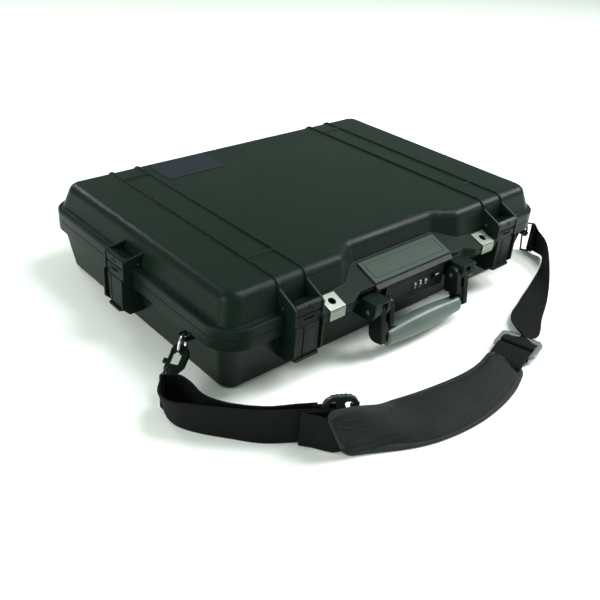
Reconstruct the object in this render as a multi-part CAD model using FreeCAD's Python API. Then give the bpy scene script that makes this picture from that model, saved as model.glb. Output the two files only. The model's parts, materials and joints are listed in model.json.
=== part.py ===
import FreeCAD, Part
import math
import os

from FreeCAD import Vector

# Whole case. The origin is at the middle of the underside, X runs along the front,
# the handle is on the -Y side, the hinges are on the +Y side and +Z is up.
case_length = 524.0
case_depth = 360.0
base_height = 71.5
lid_height = 41.5
parting_gap = 0.3
shell_wall = 4.0
corner_radius = 35.0
wall_inset = 9.0
foot_corner_radius = 17.0
running_clearance = 0.05
fit_clearance = 0.3
overrun = 1.0

# Lid
lid_taper = 9.0
lid_top_corner_radius = 17.0
lid_edge_radius = 13.0
lid_lip_height = 11.0
lip_round = 1.5
rib_width = 2.4
rib_height = 1.8
inner_rib_x = 148.3
outer_rib_x = 184.9
front_cross_rib_setback = 68.0
back_cross_rib_setback = 51.0

# Sloped front ledge of the lid and the bosses below it
ledge_angle = 19.5
ledge_front_rise = 3.2
ledge_reach = 13.0
notch_reach = 5.5
notch_outer_x = 104.0
notch_inner_x = 88.0
notch_round = 5.0
recess_depth = 18.0
recess_floor_half = 68.0
recess_mouth_half = 96.0
recess_round = 15.0
hood_half = 64.0
hood_reach = 10.5
hood_top_reach = 5.0
base_ledge_height = 7.0

# Base
base_taper = 9.0
base_bottom_corner_radius = 15.0
base_edge_radius = 8.0
base_lip_height = 16.5
base_lip_bevel = 4.0

# Seal
seal_inset = 4.5
seal_width = 4.0
seal_height = 3.0

# Hinges
hinge_reach = 8.0
hinge_barrel_radius = 6.0
hinge_pin_radius = 2.0
hinge_lid_knuckle = 17.0
hinge_base_ear = 7.0
hinge_pin_overhang = 0.5

# Latches, seen from in front of a rim face, with heights above the underside
guard_wall = 3.0
guard_room = 33.6
latch_width = 33.0
side_latch_y = 0.0
lid_guard_reach = 12.5
base_guard_reach = 15.0
guard_top_rise = 23.2
guard_nose = 4.0
front_guard_root_inset = 26.0
front_guard_root_drop = 2.8
side_guard_root_inset = 18.0
side_guard_root_rise = 27.2
base_guard_length = 43.5
base_guard_round = 9.0
link_pin_inset = 6.0
link_pin_rise = 14.7
link_boss_radius = 3.3
latch_pin_radius = 1.5
link_reach = 11.5
link_top_drop = 2.5
lever_pin_reach = 8.0
lever_pin_rise = 8.2
knuckle_radius = 3.4
knuckle_half = 6.0
knuckle_gap_above = 0.4
knuckle_web = 1.5
lever_front = 3.6
lever_thickness = 4.0
lever_length = 50.0
lever_lip_reach = 2.6
lever_lip_height = 3.5
lever_panel_raise = 1.0
lever_panel_margin = 1.2
lever_panel_low_margin = 5.5
lever_panel_high_margin = 11.0
lever_groove_width = 1.4
panel_start_share = 0.34
inner_rib_share = 0.72
side_lever_narrowing = 4.6
catch_height = 4.0
catch_play = 1.0
catch_gap = 0.6
lever_rib_width = 2.5
lever_rib_low_margin = 10.0
lever_rib_high_margin = 6.0
lever_rib_depth = 3.0
link_slot_width = 11.0
link_slot_height = 1.6
link_slot_depth = 0.9
link_notch_width = 1.6

# Padlock guards
padlock_x = 127.5
padlock_reach = 3.5
padlock_hole_radius = 4.2
guard_plate_thickness = 1.2
guard_plate_width = 22.0
guard_plate_depth = 19.0
base_guard_plate_drop = 7.5

# Name plate and label plate
name_plate_length = 127.0
name_plate_depth = 31.5
name_plate_thickness = 2.0
name_plate_setback = 2.0
name_groove_margin = 5.0
name_groove_width = 0.9
name_groove_depth = 0.6
label_length = 84.0
label_depth = 50.0
label_thickness = 0.6
label_x = -93.5
label_setback = 54.0
label_corner = 3.0

# Handle
handle_pin_reach = 18.5
handle_pin_drop = 14.0
handle_pin_radius = 2.5
handle_tilt = 9.0
bracket_inner_x = 62.0
bracket_wall = 5.0
bracket_slot = 8.5
bracket_outer_wall = 10.5
bracket_drop = 1.5
bracket_front = 10.0
bracket_top_wall = 2.0
bracket_bevel = 2.9
arm_inner_plate = 7.6
arm_depth = 19.0
arm_length = 40.0
arm_web_drop = 16.0
arm_web_height = 6.4
arm_web_setback = 4.0
arm_bottom_round = 9.0
arm_side_gap = 0.4
grip_bar_depth = 14.0
grip_bar_thickness = 8.0
grip_drop = 34.0
grip_forward = 3.0
grip_end_height = 20.0
grip_end_thickness = 16.0
grip_shoulder_x = 50.0
grip_middle_x = 18.0
grip_middle_height = 33.0
grip_middle_thickness = 20.0
grip_round_share = 0.36

# Combination lock
lock_boss_half = 50.0
lock_boss_reach = 10.0
lock_boss_height = 27.0
lock_plate_left = 45.0
lock_plate_right = 48.0
lock_plate_bottom_drop = 24.5
lock_plate_top_drop = 3.5
lock_plate_thickness = 2.0
lock_body_left = 12.0
lock_body_right = 46.0
lock_body_depth = 18.0
lock_body_wall = 1.0
dial_radius = 7.5
dial_width = 6.0
dial_pitch = 9.0
dial_middle_x = 8.5
dial_stand_out = 1.2
dial_drop = 14.0
dial_count = 3
dial_knurls = 10
dial_knurl_depth = 0.5
dial_knurl_width = 0.8
dial_slot_gap = 0.4
spindle_end = 3.0
spindle_radius = 2.0
button_x = 36.0
button_width = 9.0
button_height = 5.0
button_stand_out = 1.6
button_travel = 4.0
button_drop = 11.0
button_stem = 3.0
bolt_size = 3.0
bolt_drop = 7.5
bolt_left = 26.7
bolt_right = 38.0
keeper_thickness = 2.4
keeper_width = 7.0
keeper_x = 24.5
keeper_slot_gap = 1.0
keeper_drop = 10.6
keeper_root = 3.0
keeper_hole = 4.0

# Pressure valve on the right side of the base
valve_setback = 90.0
valve_height_share = 0.59
valve_cap_radius = 11.0
valve_cap_height = 4.0
valve_stem_radius = 6.0
valve_bore_radius = 2.5
valve_nut_radius = 9.5
valve_nut_height = 4.0
valve_inner_length = 6.0
valve_boss_radius = 13.0
valve_boss_outer_inset = 10.5
valve_boss_inner_inset = 18.5
valve_chamber_radius = 5.0
valve_vent_radius = 0.8
valve_vents = 4
membrane_thickness = 0.8

# Foam
foam_floor = 10.0
foam_side = 18.0
foam_top_gap = 1.5
foam_pocket_round = 12.0
lid_foam_thickness = 20.0

# Strap lugs, rings and snap hooks
lug_setback = 66.0
lug_drop = 22.0
lug_thickness = 4.0
lug_width = 14.0
lug_reach = 4.0
lug_hole_inset = 2.5
lug_hole_radius = 4.0
lug_round = 4.0
lug_root = 12.3
ring_radius = 10.0
ring_wire = 1.6
ring_play = 0.7
link_gap = 0.35
hook_thickness = 5.0
hook_edge_round = 1.1
hook_arch = 6.5
hook_back = 6.5
hook_room = 9.2
hook_opening = 16.5
hook_nose = 3.2
hook_gate_side = 4.0
hook_body_end = 28.0
hook_neck_radius = 4.2
hook_neck_end = 31.0
hook_round = 4.0
stud_radius = 2.2
stud_head_radius = 3.6
stud_head_height = 1.5
eye_boss_radius = 4.4
eye_boss_length = 4.0
gate_thickness = 3.4
gate_bar = 3.4
gate_pivot = 19.5
gate_slot_end = 23.5
gate_pin_radius = 1.1
gate_nub = 4.0
gate_nub_length = 5.0
eye_wire = 1.3
chain_length = 62.7
left_heading = 32.8
right_heading = 54.3

# Webbing, sliders and shoulder pad
webbing_width = 38.0
webbing_thickness = 2.0
webbing_gap = 0.4
loop_turns = 8
loop_turn_step = 30.0
left_loop_start = 200.0
right_loop_start = -20.0
webbing_parts = 3
slider_bar = 5.0
slider_slot = 9.5
slider_thickness = 4.0
slider_side = 4.0
slider_slot_gap = 0.5
slider_round = 3.0
slider_ridges = 5
slider_ridge_share = 1.5
slider_ridge_height = 1.0
slider_ridge_width = 1.6
left_slider_heading = -31.0
right_slider_heading = 14.0
right_slider_height = 9.0
pad_crown = 6.0
pad_below = 3.0
pad_edge = 1.4

# Places of the strap on the floor. A row starts with the share of the way from the left eye to the right
# one, and then has the outer and the inner edge from there, in webbing widths.
left_outer_shares = [
    (0.00, -0.0466, -0.1060, 0.03, -0.1570, -0.0962, 1.03),
    (0.00, -0.1156, -0.4224, 0.01, -0.3983, -0.3981, 0.99),
    (0.00, -0.0742, -0.8021, 0.01, -0.3638, -0.8167, 0.98),
    (0.00, 0.1809, -1.2744, 0.01, -0.0535, -1.2013, 0.99),
    (0.00, 0.6566, -1.8683, 0.01, 0.5463, -1.8294, 1.00),
    (0.00, 1.2565, -2.5402, 0.01, 1.2496, -2.4720, 1.01),
]
left_inner_shares = [
    (0.00, 0.3670, -0.1790, 0.03, 0.3808, -0.1790, 1.03),
    (0.00, 0.4360, -0.5928, 0.01, 0.4567, -0.5685, 1.01),
    (0.00, 0.4498, -1.0553, 0.01, 0.4222, -1.0310, 1.01),
    (0.00, 0.5739, -1.4448, 0.01, 0.5325, -1.4107, 1.01),
    (0.00, 0.8910, -1.8975, 0.01, 0.8221, -1.8586, 1.01),
    (0.00, 1.3875, -2.4525, 0.01, 1.3875, -2.3941, 1.01),
    (0.00, 1.9873, -2.8079, 0.05, 1.9942, -2.7836, 1.05),
    (0.00, 2.3831, -3.0966, 0.11, 2.3831, -3.0966, 1.11),
]
right_tail_shares = [
    (1.00, -0.1031, -0.1919, 0.08, -0.2617, -0.1919, 1.06),
]
right_shares = [
    (0.00, 10.7988, -3.0270, 0.24, 10.5713, -4.0737, 0.24),
    (0.15, 9.6744, -2.4265, 0.20, 9.3848, -3.4780, 0.20),
    (0.50, 5.4512, -1.8383, 0.14, 5.1410, -2.7292, 0.22),
    (0.85, 1.4349, -1.1478, 0.10, 0.8006, -1.8537, 0.44),
    (1.00, -0.0618, -0.6300, 0.06, -0.5237, -0.9221, 0.84),
    (1.00, 0.0141, -0.2406, 0.08, -0.1790, -0.2649, 1.06),
]
pad_shares = [
    (0.00, 2.4975, -4.0396, 0.05, 2.0769, -3.6988, 1.32),
    (0.00, 3.0767, -4.3269, 0.05, 2.7871, -3.9082, 1.32),
    (0.00, 3.6007, -4.6190, 0.05, 3.7041, -3.8790, 0.87),
    (0.00, 4.2350, -4.9062, 0.05, 4.5728, -3.5138, 0.32),
    (0.00, 4.9934, -5.1350, 0.05, 5.5726, -3.6453, 0.21),
    (0.00, 6.0759, -5.2762, 0.05, 6.4413, -3.7767, 0.21),
    (0.00, 7.1308, -5.2373, 0.05, 7.0756, -3.8546, 0.21),
    (0.00, 8.2064, -5.0377, 0.06, 7.9444, -3.9082, 0.26),
    (0.00, 9.0199, -4.6969, 0.11, 8.7304, -3.7232, 0.32),
]
left_slider_shares = (2.7492, -3.5075)
right_slider_shares = (9.8128, -3.9471)

# Middles of the sliders, in webbing widths from the left eye, are above. The webbing's ways round them are
# in webbing widths along and out from a slider's middle.
fold_shares = [(-0.68, -0.0895), (-0.30, -0.0895), (0.066, -0.0895), (0.092, -0.082), (0.103, -0.055),
               (0.103, 0.055), (0.092, 0.082), (0.066, 0.0895), (-0.30, 0.0895), (-0.50, 0.0895)]
left_end_shares = [(0.08, 0.50), (-0.22, 0.53), (-0.40, 0.46), (-0.56, 0.37), (-0.74, 0.286), (-0.895, 0.237),
                   (-0.968, 0.226), (-0.989, 0.197), (-0.968, 0.168), (-0.895, 0.161), (-0.74, 0.158),
                   (-0.47, 0.161), (0.0, 0.161), (0.19, 0.155), (0.255, 0.125), (0.279, 0.085), (0.279, -0.065),
                   (0.297, -0.086), (0.34, -0.0895), (0.50, -0.0895)]
right_end_shares = [(-1.22, 0.0), (-0.95, 0.03), (-0.72, 0.07), (-0.52, 0.0895), (-0.34, 0.0895), (-0.297, 0.086),
                    (-0.279, 0.065), (-0.279, -0.065), (-0.297, -0.086), (-0.34, -0.0895), (-0.58, -0.0895)]
pad_section_shares = [(0.0, 0.0), (0.10, 0.62), (0.26, 0.92), (0.5, 1.0), (0.74, 0.92), (0.90, 0.62), (1.0, 0.0)]

lid_bottom = base_height + parting_gap
lid_foot = lid_bottom + lid_lip_height
lid_top = lid_bottom + lid_height
lip_bottom = base_height - base_lip_height
front_face = -case_depth / 2
right_face = case_length / 2
ledge_front = front_face - ledge_reach
ledge_slope = math.tan(math.radians(ledge_angle))
hinge_y = case_depth / 2 + hinge_reach
hinge_z = base_height + parting_gap / 2
latch_x = (inner_rib_x + outer_rib_x) / 2
latch_spots = [("front", -latch_x), ("front", latch_x), ("left", side_latch_y), ("right", side_latch_y)]
front_cross_rib_y = front_face + front_cross_rib_setback
back_cross_rib_y = case_depth / 2 - back_cross_rib_setback
label_y = case_depth / 2 - label_setback

# Heights of the latches, from the parting line
guard_top_height = lid_bottom + guard_top_rise
front_guard_root_height = lid_top - front_guard_root_drop
side_guard_root_height = lid_bottom + side_guard_root_rise
base_guard_bottom = base_height - base_guard_length
link_pin_height = lid_bottom + link_pin_rise
lever_pin_height = lid_bottom + lever_pin_rise
lever_bottom = lever_pin_height - lever_length
lever_panel_bottom = lever_bottom + lever_panel_low_margin
lever_panel_top = lever_pin_height - lever_panel_high_margin
lever_rib_bottom = lever_bottom + lever_rib_low_margin
lever_rib_top = lever_pin_height - lever_rib_high_margin
catch_bottom = lip_bottom - catch_play - catch_height

# Heights of the handle and lock, down from the base's rim
handle_pin_height = base_height - handle_pin_drop
bracket_top = base_height - bracket_drop
lock_boss_bottom = base_height - lock_boss_height
lock_plate_bottom = base_height - lock_plate_bottom_drop
lock_plate_top = base_height - lock_plate_top_drop
dial_height = base_height - dial_drop
button_z = base_height - button_drop
bolt_z = base_height - bolt_drop

# Places of the valve, the strap lugs and the strap's end fittings
valve_y = case_depth / 2 - valve_setback
valve_z = shell_wall + (lip_bottom - shell_wall) * valve_height_share
lug_y = front_face + lug_setback
lug_z = base_height - lug_drop
hook_start = 2 * ring_radius - ring_wire - ring_play
eye_middle_height = 2 * eye_wire + webbing_gap + webbing_width / 2


def box(x0, x1, y0, y1, z0, z1):
    """A box between two corners."""
    return Part.makeBox(x1 - x0, y1 - y0, z1 - z0, Vector(x0, y0, z0))


def rod(radius, start, end):
    """A round rod between two points."""
    start, end = Vector(*start), Vector(*end)
    return Part.makeCylinder(radius, (end - start).Length, start, end - start)


def fuse(shapes):
    """One shape from several, with leftover seams removed."""
    first, rest = shapes[0], shapes[1:]
    return first.fuse(rest).removeSplitter() if rest else first


def rounded_outline(corners, z):
    """A closed wire through (x, y, radius) corners at one height, each corner an arc."""
    points = [Vector(x, y, z) for x, y, radius in corners]
    arcs = []
    for i, (x, y, radius) in enumerate(corners):
        before = (points[i - 1] - points[i]).normalize()
        after = (points[(i + 1) % len(points)] - points[i]).normalize()
        half = before.getAngle(after) / 2
        middle = (before + after).normalize()
        reach = radius / math.tan(half)
        deep = radius / math.sin(half) - radius
        arcs.append((points[i] + before * reach, points[i] + middle * deep, points[i] + after * reach))
    edges = []
    for i, (start, middle, end) in enumerate(arcs):
        edges.append(Part.Arc(start, middle, end).toShape())
        edges.append(Part.LineSegment(end, arcs[(i + 1) % len(arcs)][0]).toShape())
    return Part.Wire(edges)


def prism(corners, z0, z1):
    """A straight block over a rounded outline."""
    return Part.Face(rounded_outline(corners, z0)).extrude(Vector(0, 0, z1 - z0))


def side_profile(points, x0, x1):
    """A block along X with a straight-sided outline of (y, z) points."""
    corners = [Vector(x0, y, z) for y, z in points]
    return Part.Face(Part.makePolygon(corners + corners[:1])).extrude(Vector(x1 - x0, 0, 0))


def plan(inset, radius):
    """Plan corners of the case, drawn in from the rim."""
    x, y = case_length / 2 - inset, case_depth / 2 - inset
    return [(x, -y, radius), (x, y, radius), (-x, y, radius), (-x, -y, radius)]


def plan_with_recess(inset, radius):
    """Plan corners of the lid's upper part, whose front is set back in the middle."""
    front = -(case_depth / 2 - inset)
    back = front + recess_depth
    jog = [(-recess_mouth_half, front, recess_round), (-recess_floor_half, back, recess_round),
           (recess_floor_half, back, recess_round), (recess_mouth_half, front, recess_round)]
    return plan(inset, radius) + jog


def ledge_height(y):
    """Height of the sloped front ledge at a place along Y."""
    return lid_bottom + ledge_front_rise + (y - ledge_front) * ledge_slope


def drafted(corner_rule, low, high):
    """A block whose plan changes evenly from one (inset, radius, height) to another."""
    wires = [rounded_outline(corner_rule(inset, radius), z) for inset, radius, z in (low, high)]
    return Part.makeLoft(wires, True, True)


def round_level(shape, z, radius):
    """Round the edges that lie in one level plane."""
    edges = []
    for edge in shape.Edges:
        level = edge.BoundBox
        if abs(level.ZMin - z) < fit_clearance and abs(level.ZMax - z) < fit_clearance:
            edges.append(edge)
    return shape.makeFillet(radius, edges)


def mirrored(shape):
    """The same piece on the other side of the middle."""
    return shape.mirror(Vector(0, 0, 0), Vector(1, 0, 0))


def lid_dome(grow):
    """The lid above its rim, grown outwards evenly."""
    low = (wall_inset - grow, foot_corner_radius + grow, lid_foot)
    high = (wall_inset + lid_taper - grow, lid_top_corner_radius + grow, lid_top + grow)
    dome = drafted(plan_with_recess, low, high)
    return round_level(dome, lid_top + grow, lid_edge_radius + grow)


def front_step(z0, z1):
    """The plan of the front ledge, with its notches over the handle brackets, as a block."""
    back = front_face + wall_inset + shell_wall
    notch = front_face - notch_reach
    right = [(inner_rib_x, back, notch_round), (inner_rib_x, ledge_front, lip_round),
             (notch_outer_x, ledge_front, notch_round), (notch_inner_x, notch, notch_round)]
    left = [(-x, y, radius) for x, y, radius in reversed(right)]
    return prism(right + left, z0, z1)


def lid_shell():
    """The lid with ribs, latch guards, sloped front ledge, hood, hinge knuckles and hollow."""
    lip = round_level(prism(plan(0, corner_radius), lid_bottom, lid_foot), lid_foot, lip_round)
    high = lid_top + overrun
    ledge_back = front_face + wall_inset + lip_round
    above_ledge = [(ledge_front - overrun, ledge_height(ledge_front - overrun)),
                   (ledge_back, ledge_height(ledge_back)), (ledge_back, high), (ledge_front - overrun, high)]
    lip = lip.cut(side_profile(above_ledge, -inner_rib_x, inner_rib_x))
    recess_back = front_face + wall_inset + recess_depth + shell_wall
    under_ledge = [(ledge_front, lid_bottom), (ledge_front, ledge_height(ledge_front)),
                   (recess_back, ledge_height(recess_back)), (recess_back, lid_bottom)]
    ledge = side_profile(under_ledge, -inner_rib_x, inner_rib_x)
    step = front_step(lid_bottom, lid_top)
    behind = box(-recess_mouth_half, recess_mouth_half, front_face + wall_inset, recess_back, lid_bottom, lid_top)
    ledge = ledge.common(step.fuse(behind))
    hood_top = front_face - hood_top_reach
    hood_low = front_face - hood_reach
    hood_outline = [(hood_top, ledge_height(hood_top)), (hood_low, lid_bottom + lip_round),
                    (hood_low, lid_bottom), (front_face, lid_bottom), (front_face, ledge_height(front_face))]
    hood = side_profile(hood_outline, -hood_half, hood_half)
    body = [lip, lid_dome(0), ledge, hood]
    for spot in latch_spots:
        body += [at_latch(guard, spot) for guard in lid_guards(spot)]
    body = fuse(body)

    lower_hollow = prism(plan(wall_inset + shell_wall, foot_corner_radius), lid_bottom - overrun, lid_foot)
    thick = shell_wall / math.cos(math.radians(ledge_angle))
    over_slope = [(y, z - thick) for y, z in above_ledge[:1]]
    over_slope += [(recess_back, ledge_height(recess_back) - thick), (recess_back, high),
                   (ledge_front - overrun, high)]
    lower_hollow = lower_hollow.cut(side_profile(over_slope, -recess_mouth_half, recess_mouth_half))
    rise = lid_height - lid_lip_height
    ceiling_inset = wall_inset + shell_wall + lid_taper * (rise - shell_wall) / rise
    upper_hollow = drafted(plan_with_recess,
                           (wall_inset + shell_wall, foot_corner_radius, lid_foot),
                           (ceiling_inset, lid_top_corner_radius, lid_top - shell_wall))
    upper_hollow = round_level(upper_hollow, lid_top - shell_wall, lid_edge_radius - shell_wall)
    body = body.cut([lower_hollow, upper_hollow])

    groove = prism(plan(seal_inset, corner_radius - seal_inset), lid_bottom, lid_bottom + seal_height)
    inner = seal_inset + seal_width
    groove = groove.cut(prism(plan(inner, corner_radius - inner), lid_bottom, lid_bottom + seal_height))
    body = body.cut(groove)

    grown = lid_dome(rib_height).cut(lid_dome(-shell_wall / 2))
    half = rib_width / 2
    ribs = []
    for x in (inner_rib_x, outer_rib_x):
        ribs.append(grown.common(box(x - half, x + half, -case_depth, case_depth, lid_foot, high + rib_height)))
    for y in (front_cross_rib_y, back_cross_rib_y):
        ribs.append(grown.common(box(inner_rib_x, outer_rib_x, y - half, y + half, lid_foot, high + rib_height)))
    body = fuse([body] + ribs + [mirrored(rib) for rib in ribs])

    knuckle_half_width = hinge_lid_knuckle / 2
    for x in (latch_x, -latch_x):
        ends = x - knuckle_half_width, x + knuckle_half_width
        barrel = rod(hinge_barrel_radius, (ends[0], hinge_y, hinge_z), (ends[1], hinge_y, hinge_z))
        web = box(ends[0], ends[1], case_depth / 2 - shell_wall, hinge_y, lid_bottom, hinge_z + hinge_barrel_radius)
        bore = rod(hinge_pin_radius + running_clearance, (ends[0] - overrun, hinge_y, hinge_z),
                   (ends[1] + overrun, hinge_y, hinge_z))
        body = fuse([body, barrel, web]).cut(bore)
    keeper_pocket = keeper_box(0, lid_bottom - overrun, lid_bottom + keeper_root)
    return body.cut([padlock_hole(1), padlock_hole(-1), keeper_pocket])


def lid_guards(spot):
    """The two plates of the lid that guard one latch, with their pin holes."""
    front = spot[0] == "front"
    root_inset = front_guard_root_inset if front else side_guard_root_inset
    root_height = front_guard_root_height if front else side_guard_root_height
    nose = lid_guard_reach - guard_nose
    outline = [(root_inset, root_height), (-nose, guard_top_height),
               (-lid_guard_reach, guard_top_height - guard_nose), (-lid_guard_reach, lid_bottom),
               (shell_wall, lid_bottom), (shell_wall, lid_foot), (root_inset, lid_foot + lip_round)]
    return guard_pair(outline, (link_pin_inset, link_pin_height))


def guard_pair(outline, pin):
    """Two equal plates either side of a latch, with a hole for its pin."""
    plates = []
    for side in (-1, 1):
        near = guard_room / 2
        ends = sorted((side * near, side * (near + guard_wall)))
        plate = side_profile(outline, *ends)
        if pin:
            plate = plate.cut(rod(latch_pin_radius, (ends[0] - overrun, *pin), (ends[1] + overrun, *pin)))
        plates.append(plate)
    return plates


def base_guards():
    """The two plates of the base that guard one latch."""
    depth = wall_inset + base_taper
    low = base_guard_bottom
    outline = [(shell_wall, base_height), (-base_guard_reach, base_height),
               (-base_guard_reach, low + base_guard_round), (-base_guard_reach + base_guard_round, low),
               (depth, low), (depth, lip_bottom)]
    return guard_pair(outline, None)


def at_latch(shape, spot):
    """Move a piece drawn at the middle of a rim face, outwards along -Y, to its latch."""
    face, place = spot
    moved = shape.copy()
    if face == "front":
        moved.translate(Vector(place, front_face, 0))
    elif face == "left":
        moved.rotate(Vector(0, 0, 0), Vector(0, 0, 1), -90)
        moved.translate(Vector(-right_face, place, 0))
    else:
        moved.rotate(Vector(0, 0, 0), Vector(0, 0, 1), 90)
        moved.translate(Vector(right_face, place, 0))
    return moved


def padlock_hole(side):
    """The upright hole for a padlock's shackle, through lid and base."""
    y = front_face - padlock_reach
    low = base_height - base_guard_plate_drop - overrun
    return rod(padlock_hole_radius, (side * padlock_x, y, low), (side * padlock_x, y, lid_foot))


def bracket(side):
    """One of the two blocks on the base that carry the handle, with its slot and pin hole."""
    pin_y = front_face - handle_pin_reach
    front = pin_y - bracket_front
    low = handle_pin_height - bracket_front
    back = front_face + wall_inset + base_taper
    outer_x = bracket_inner_x + bracket_wall + bracket_slot + bracket_outer_wall
    outline = [(back, bracket_top), (front, bracket_top), (front, handle_pin_height),
               (front + bracket_bevel, low + bracket_bevel), (pin_y, low), (back, low)]
    block = side_profile(outline, bracket_inner_x, outer_x)
    slot_x = bracket_inner_x + bracket_wall
    slot = box(slot_x, slot_x + bracket_slot, front - overrun, pin_y + bracket_front + bracket_slot / 2,
               low - overrun, bracket_top - bracket_top_wall)
    pin = rod(handle_pin_radius, (bracket_inner_x - overrun, pin_y, handle_pin_height),
              (outer_x + overrun, pin_y, handle_pin_height))
    block = block.cut([slot, pin])
    return block if side > 0 else mirrored(block)


def base_shell():
    """The tray with its rim, latch guards, lock boss, handle brackets, lugs and hinge ears."""
    walls = drafted(plan, (wall_inset + base_taper, base_bottom_corner_radius, 0),
                    (wall_inset, foot_corner_radius, lip_bottom))
    walls = round_level(walls, 0, base_edge_radius)
    bevel = drafted(plan, (wall_inset, foot_corner_radius, lip_bottom),
                    (0, corner_radius, lip_bottom + base_lip_bevel))
    lip = prism(plan(0, corner_radius), lip_bottom + base_lip_bevel, base_height)
    step = front_step(base_height - base_ledge_height, base_height)
    back = front_face + wall_inset + base_taper
    boss = box(-lock_boss_half, lock_boss_half, front_face - lock_boss_reach, back, lock_boss_bottom, base_height)
    pieces = [walls, bevel, lip, step, boss]
    for side in (1, -1):
        pieces.append(bracket(side))
    for spot in latch_spots:
        pieces += [at_latch(guard, spot) for guard in base_guards()]
    body = fuse(pieces)

    inset = wall_inset + shell_wall
    upper_hollow = prism(plan(inset, foot_corner_radius), lip_bottom, base_height + overrun)
    floor_inset = inset + base_taper * (lip_bottom - shell_wall) / lip_bottom
    lower_hollow = drafted(plan, (floor_inset, base_bottom_corner_radius, shell_wall),
                           (inset, foot_corner_radius, lip_bottom))
    lower_hollow = round_level(lower_hollow, shell_wall, base_edge_radius - shell_wall)
    body = body.cut([upper_hollow, lower_hollow])
    body = body.cut([lock_pocket(), keeper_slot()])

    ear_room = hinge_lid_knuckle / 2 + fit_clearance
    for centre in (latch_x, -latch_x):
        for side in (1, -1):
            x0, x1 = sorted((centre + side * ear_room, centre + side * (ear_room + hinge_base_ear)))
            barrel = rod(hinge_barrel_radius, (x0, hinge_y, hinge_z), (x1, hinge_y, hinge_z))
            web = box(x0, x1, case_depth / 2 - shell_wall, hinge_y, hinge_z - hinge_barrel_radius, base_height)
            bore = rod(hinge_pin_radius, (x0 - overrun, hinge_y, hinge_z), (x1 + overrun, hinge_y, hinge_z))
            body = fuse([body, barrel, web]).cut(bore)
    for side in (1, -1):
        body = body.cut(padlock_hole(side))
    boss = valve_rod(valve_boss_radius, valve_boss_inner_inset, valve_boss_outer_inset)
    bore = valve_rod(valve_stem_radius, valve_boss_inner_inset + overrun, valve_boss_outer_inset - overrun)
    return fuse([body, boss]).cut([bore, lug(1), lug(-1)])


def valve_rod(radius, inner_inset, outer_inset):
    """A rod along the valve's axis between two distances in from the rim."""
    return rod(radius, (right_face - inner_inset, valve_y, valve_z), (right_face - outer_inset, valve_y, valve_z))


def lock_front():
    """The face of the lock's boss."""
    return front_face - lock_boss_reach


def lock_body_box(grow):
    """The lock's body behind its plate, grown by a clearance."""
    front = lock_front()
    return box(-lock_body_left - grow, lock_body_right + grow, front - grow, front + lock_body_depth + grow,
               lock_plate_bottom + lock_body_wall - grow, lock_plate_top - lock_body_wall + grow)


def lock_plate_box(grow):
    """The lock's face plate, grown by a clearance."""
    front = lock_front()
    return box(-lock_plate_left - grow, lock_plate_right + grow, front - grow,
               front + lock_plate_thickness + grow, lock_plate_bottom - grow, lock_plate_top + grow)


def lock_pocket():
    """The room for the lock in the base."""
    return lock_body_box(fit_clearance).fuse(lock_plate_box(fit_clearance))


def keeper_box(grow, low, high):
    """The keeper's tongue, grown sideways, between two heights."""
    y = bolt_y()
    half = keeper_thickness / 2 + grow
    reach = keeper_width / 2 + grow
    return box(keeper_x - half, keeper_x + half, y - reach, y + reach, low, high)


def keeper_slot():
    """The slot in the top of the base and lock that the keeper drops into."""
    return keeper_box(keeper_slot_gap, lid_bottom - keeper_drop - keeper_slot_gap, base_height + overrun)


def bolt_y():
    """The lock bolt's place along Y."""
    return lock_front() + lock_plate_thickness + keeper_width / 2 + keeper_slot_gap


def hinge_pins():
    """The two hinge pins, one in each group of ears."""
    half = hinge_lid_knuckle / 2 + fit_clearance + hinge_base_ear + hinge_pin_overhang
    return [rod(hinge_pin_radius, (x - half, hinge_y, hinge_z), (x + half, hinge_y, hinge_z))
            for x in (latch_x, -latch_x)]


def base_foam():
    """The foam tray that fills the base, with room for the valve's nut."""
    inset = wall_inset + shell_wall + fit_clearance
    floor = shell_wall + fit_clearance
    top = base_height - foam_top_gap
    floor_inset = inset + base_taper * (lip_bottom - floor) / lip_bottom
    lower = drafted(plan, (floor_inset, base_bottom_corner_radius, floor), (inset, foot_corner_radius, lip_bottom))
    lower = round_level(lower, floor, base_edge_radius - shell_wall)
    block = fuse([lower, prism(plan(inset, foot_corner_radius), lip_bottom, top)])
    pocket = prism(plan(inset + foam_side, foam_pocket_round), floor + foam_floor, top + overrun)
    nut_room = valve_rod(valve_boss_radius + fit_clearance,
                         valve_boss_inner_inset + valve_inner_length + overrun, 0)
    return block.cut([pocket, nut_room])


def lid_foam():
    """The foam block in the upper part of the lid."""
    rise = lid_height - lid_lip_height
    top = lid_top - shell_wall - fit_clearance
    low = top - lid_foam_thickness

    def inset(z):
        return wall_inset + shell_wall + fit_clearance + lid_taper * (z - lid_foot) / rise

    block = drafted(plan_with_recess, (inset(low), foot_corner_radius, low), (inset(top), lid_top_corner_radius, top))
    return round_level(block, top, lid_edge_radius - shell_wall)


def seal_ring():
    """The soft seal in the lid's groove."""
    inner = seal_inset + seal_width
    outside = prism(plan(seal_inset, corner_radius - seal_inset), lid_bottom, lid_bottom + seal_height)
    inside = prism(plan(inner, corner_radius - inner), lid_bottom - overrun, lid_bottom + seal_height + overrun)
    return outside.cut(inside)


def on_ledge(shape, y):
    """Lay a piece drawn flat at the origin on the sloped front ledge, with its middle at a place along Y."""
    laid = shape.copy()
    laid.rotate(Vector(0, 0, 0), Vector(1, 0, 0), ledge_angle)
    laid.translate(Vector(0, y, ledge_height(y)))
    return laid


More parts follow.
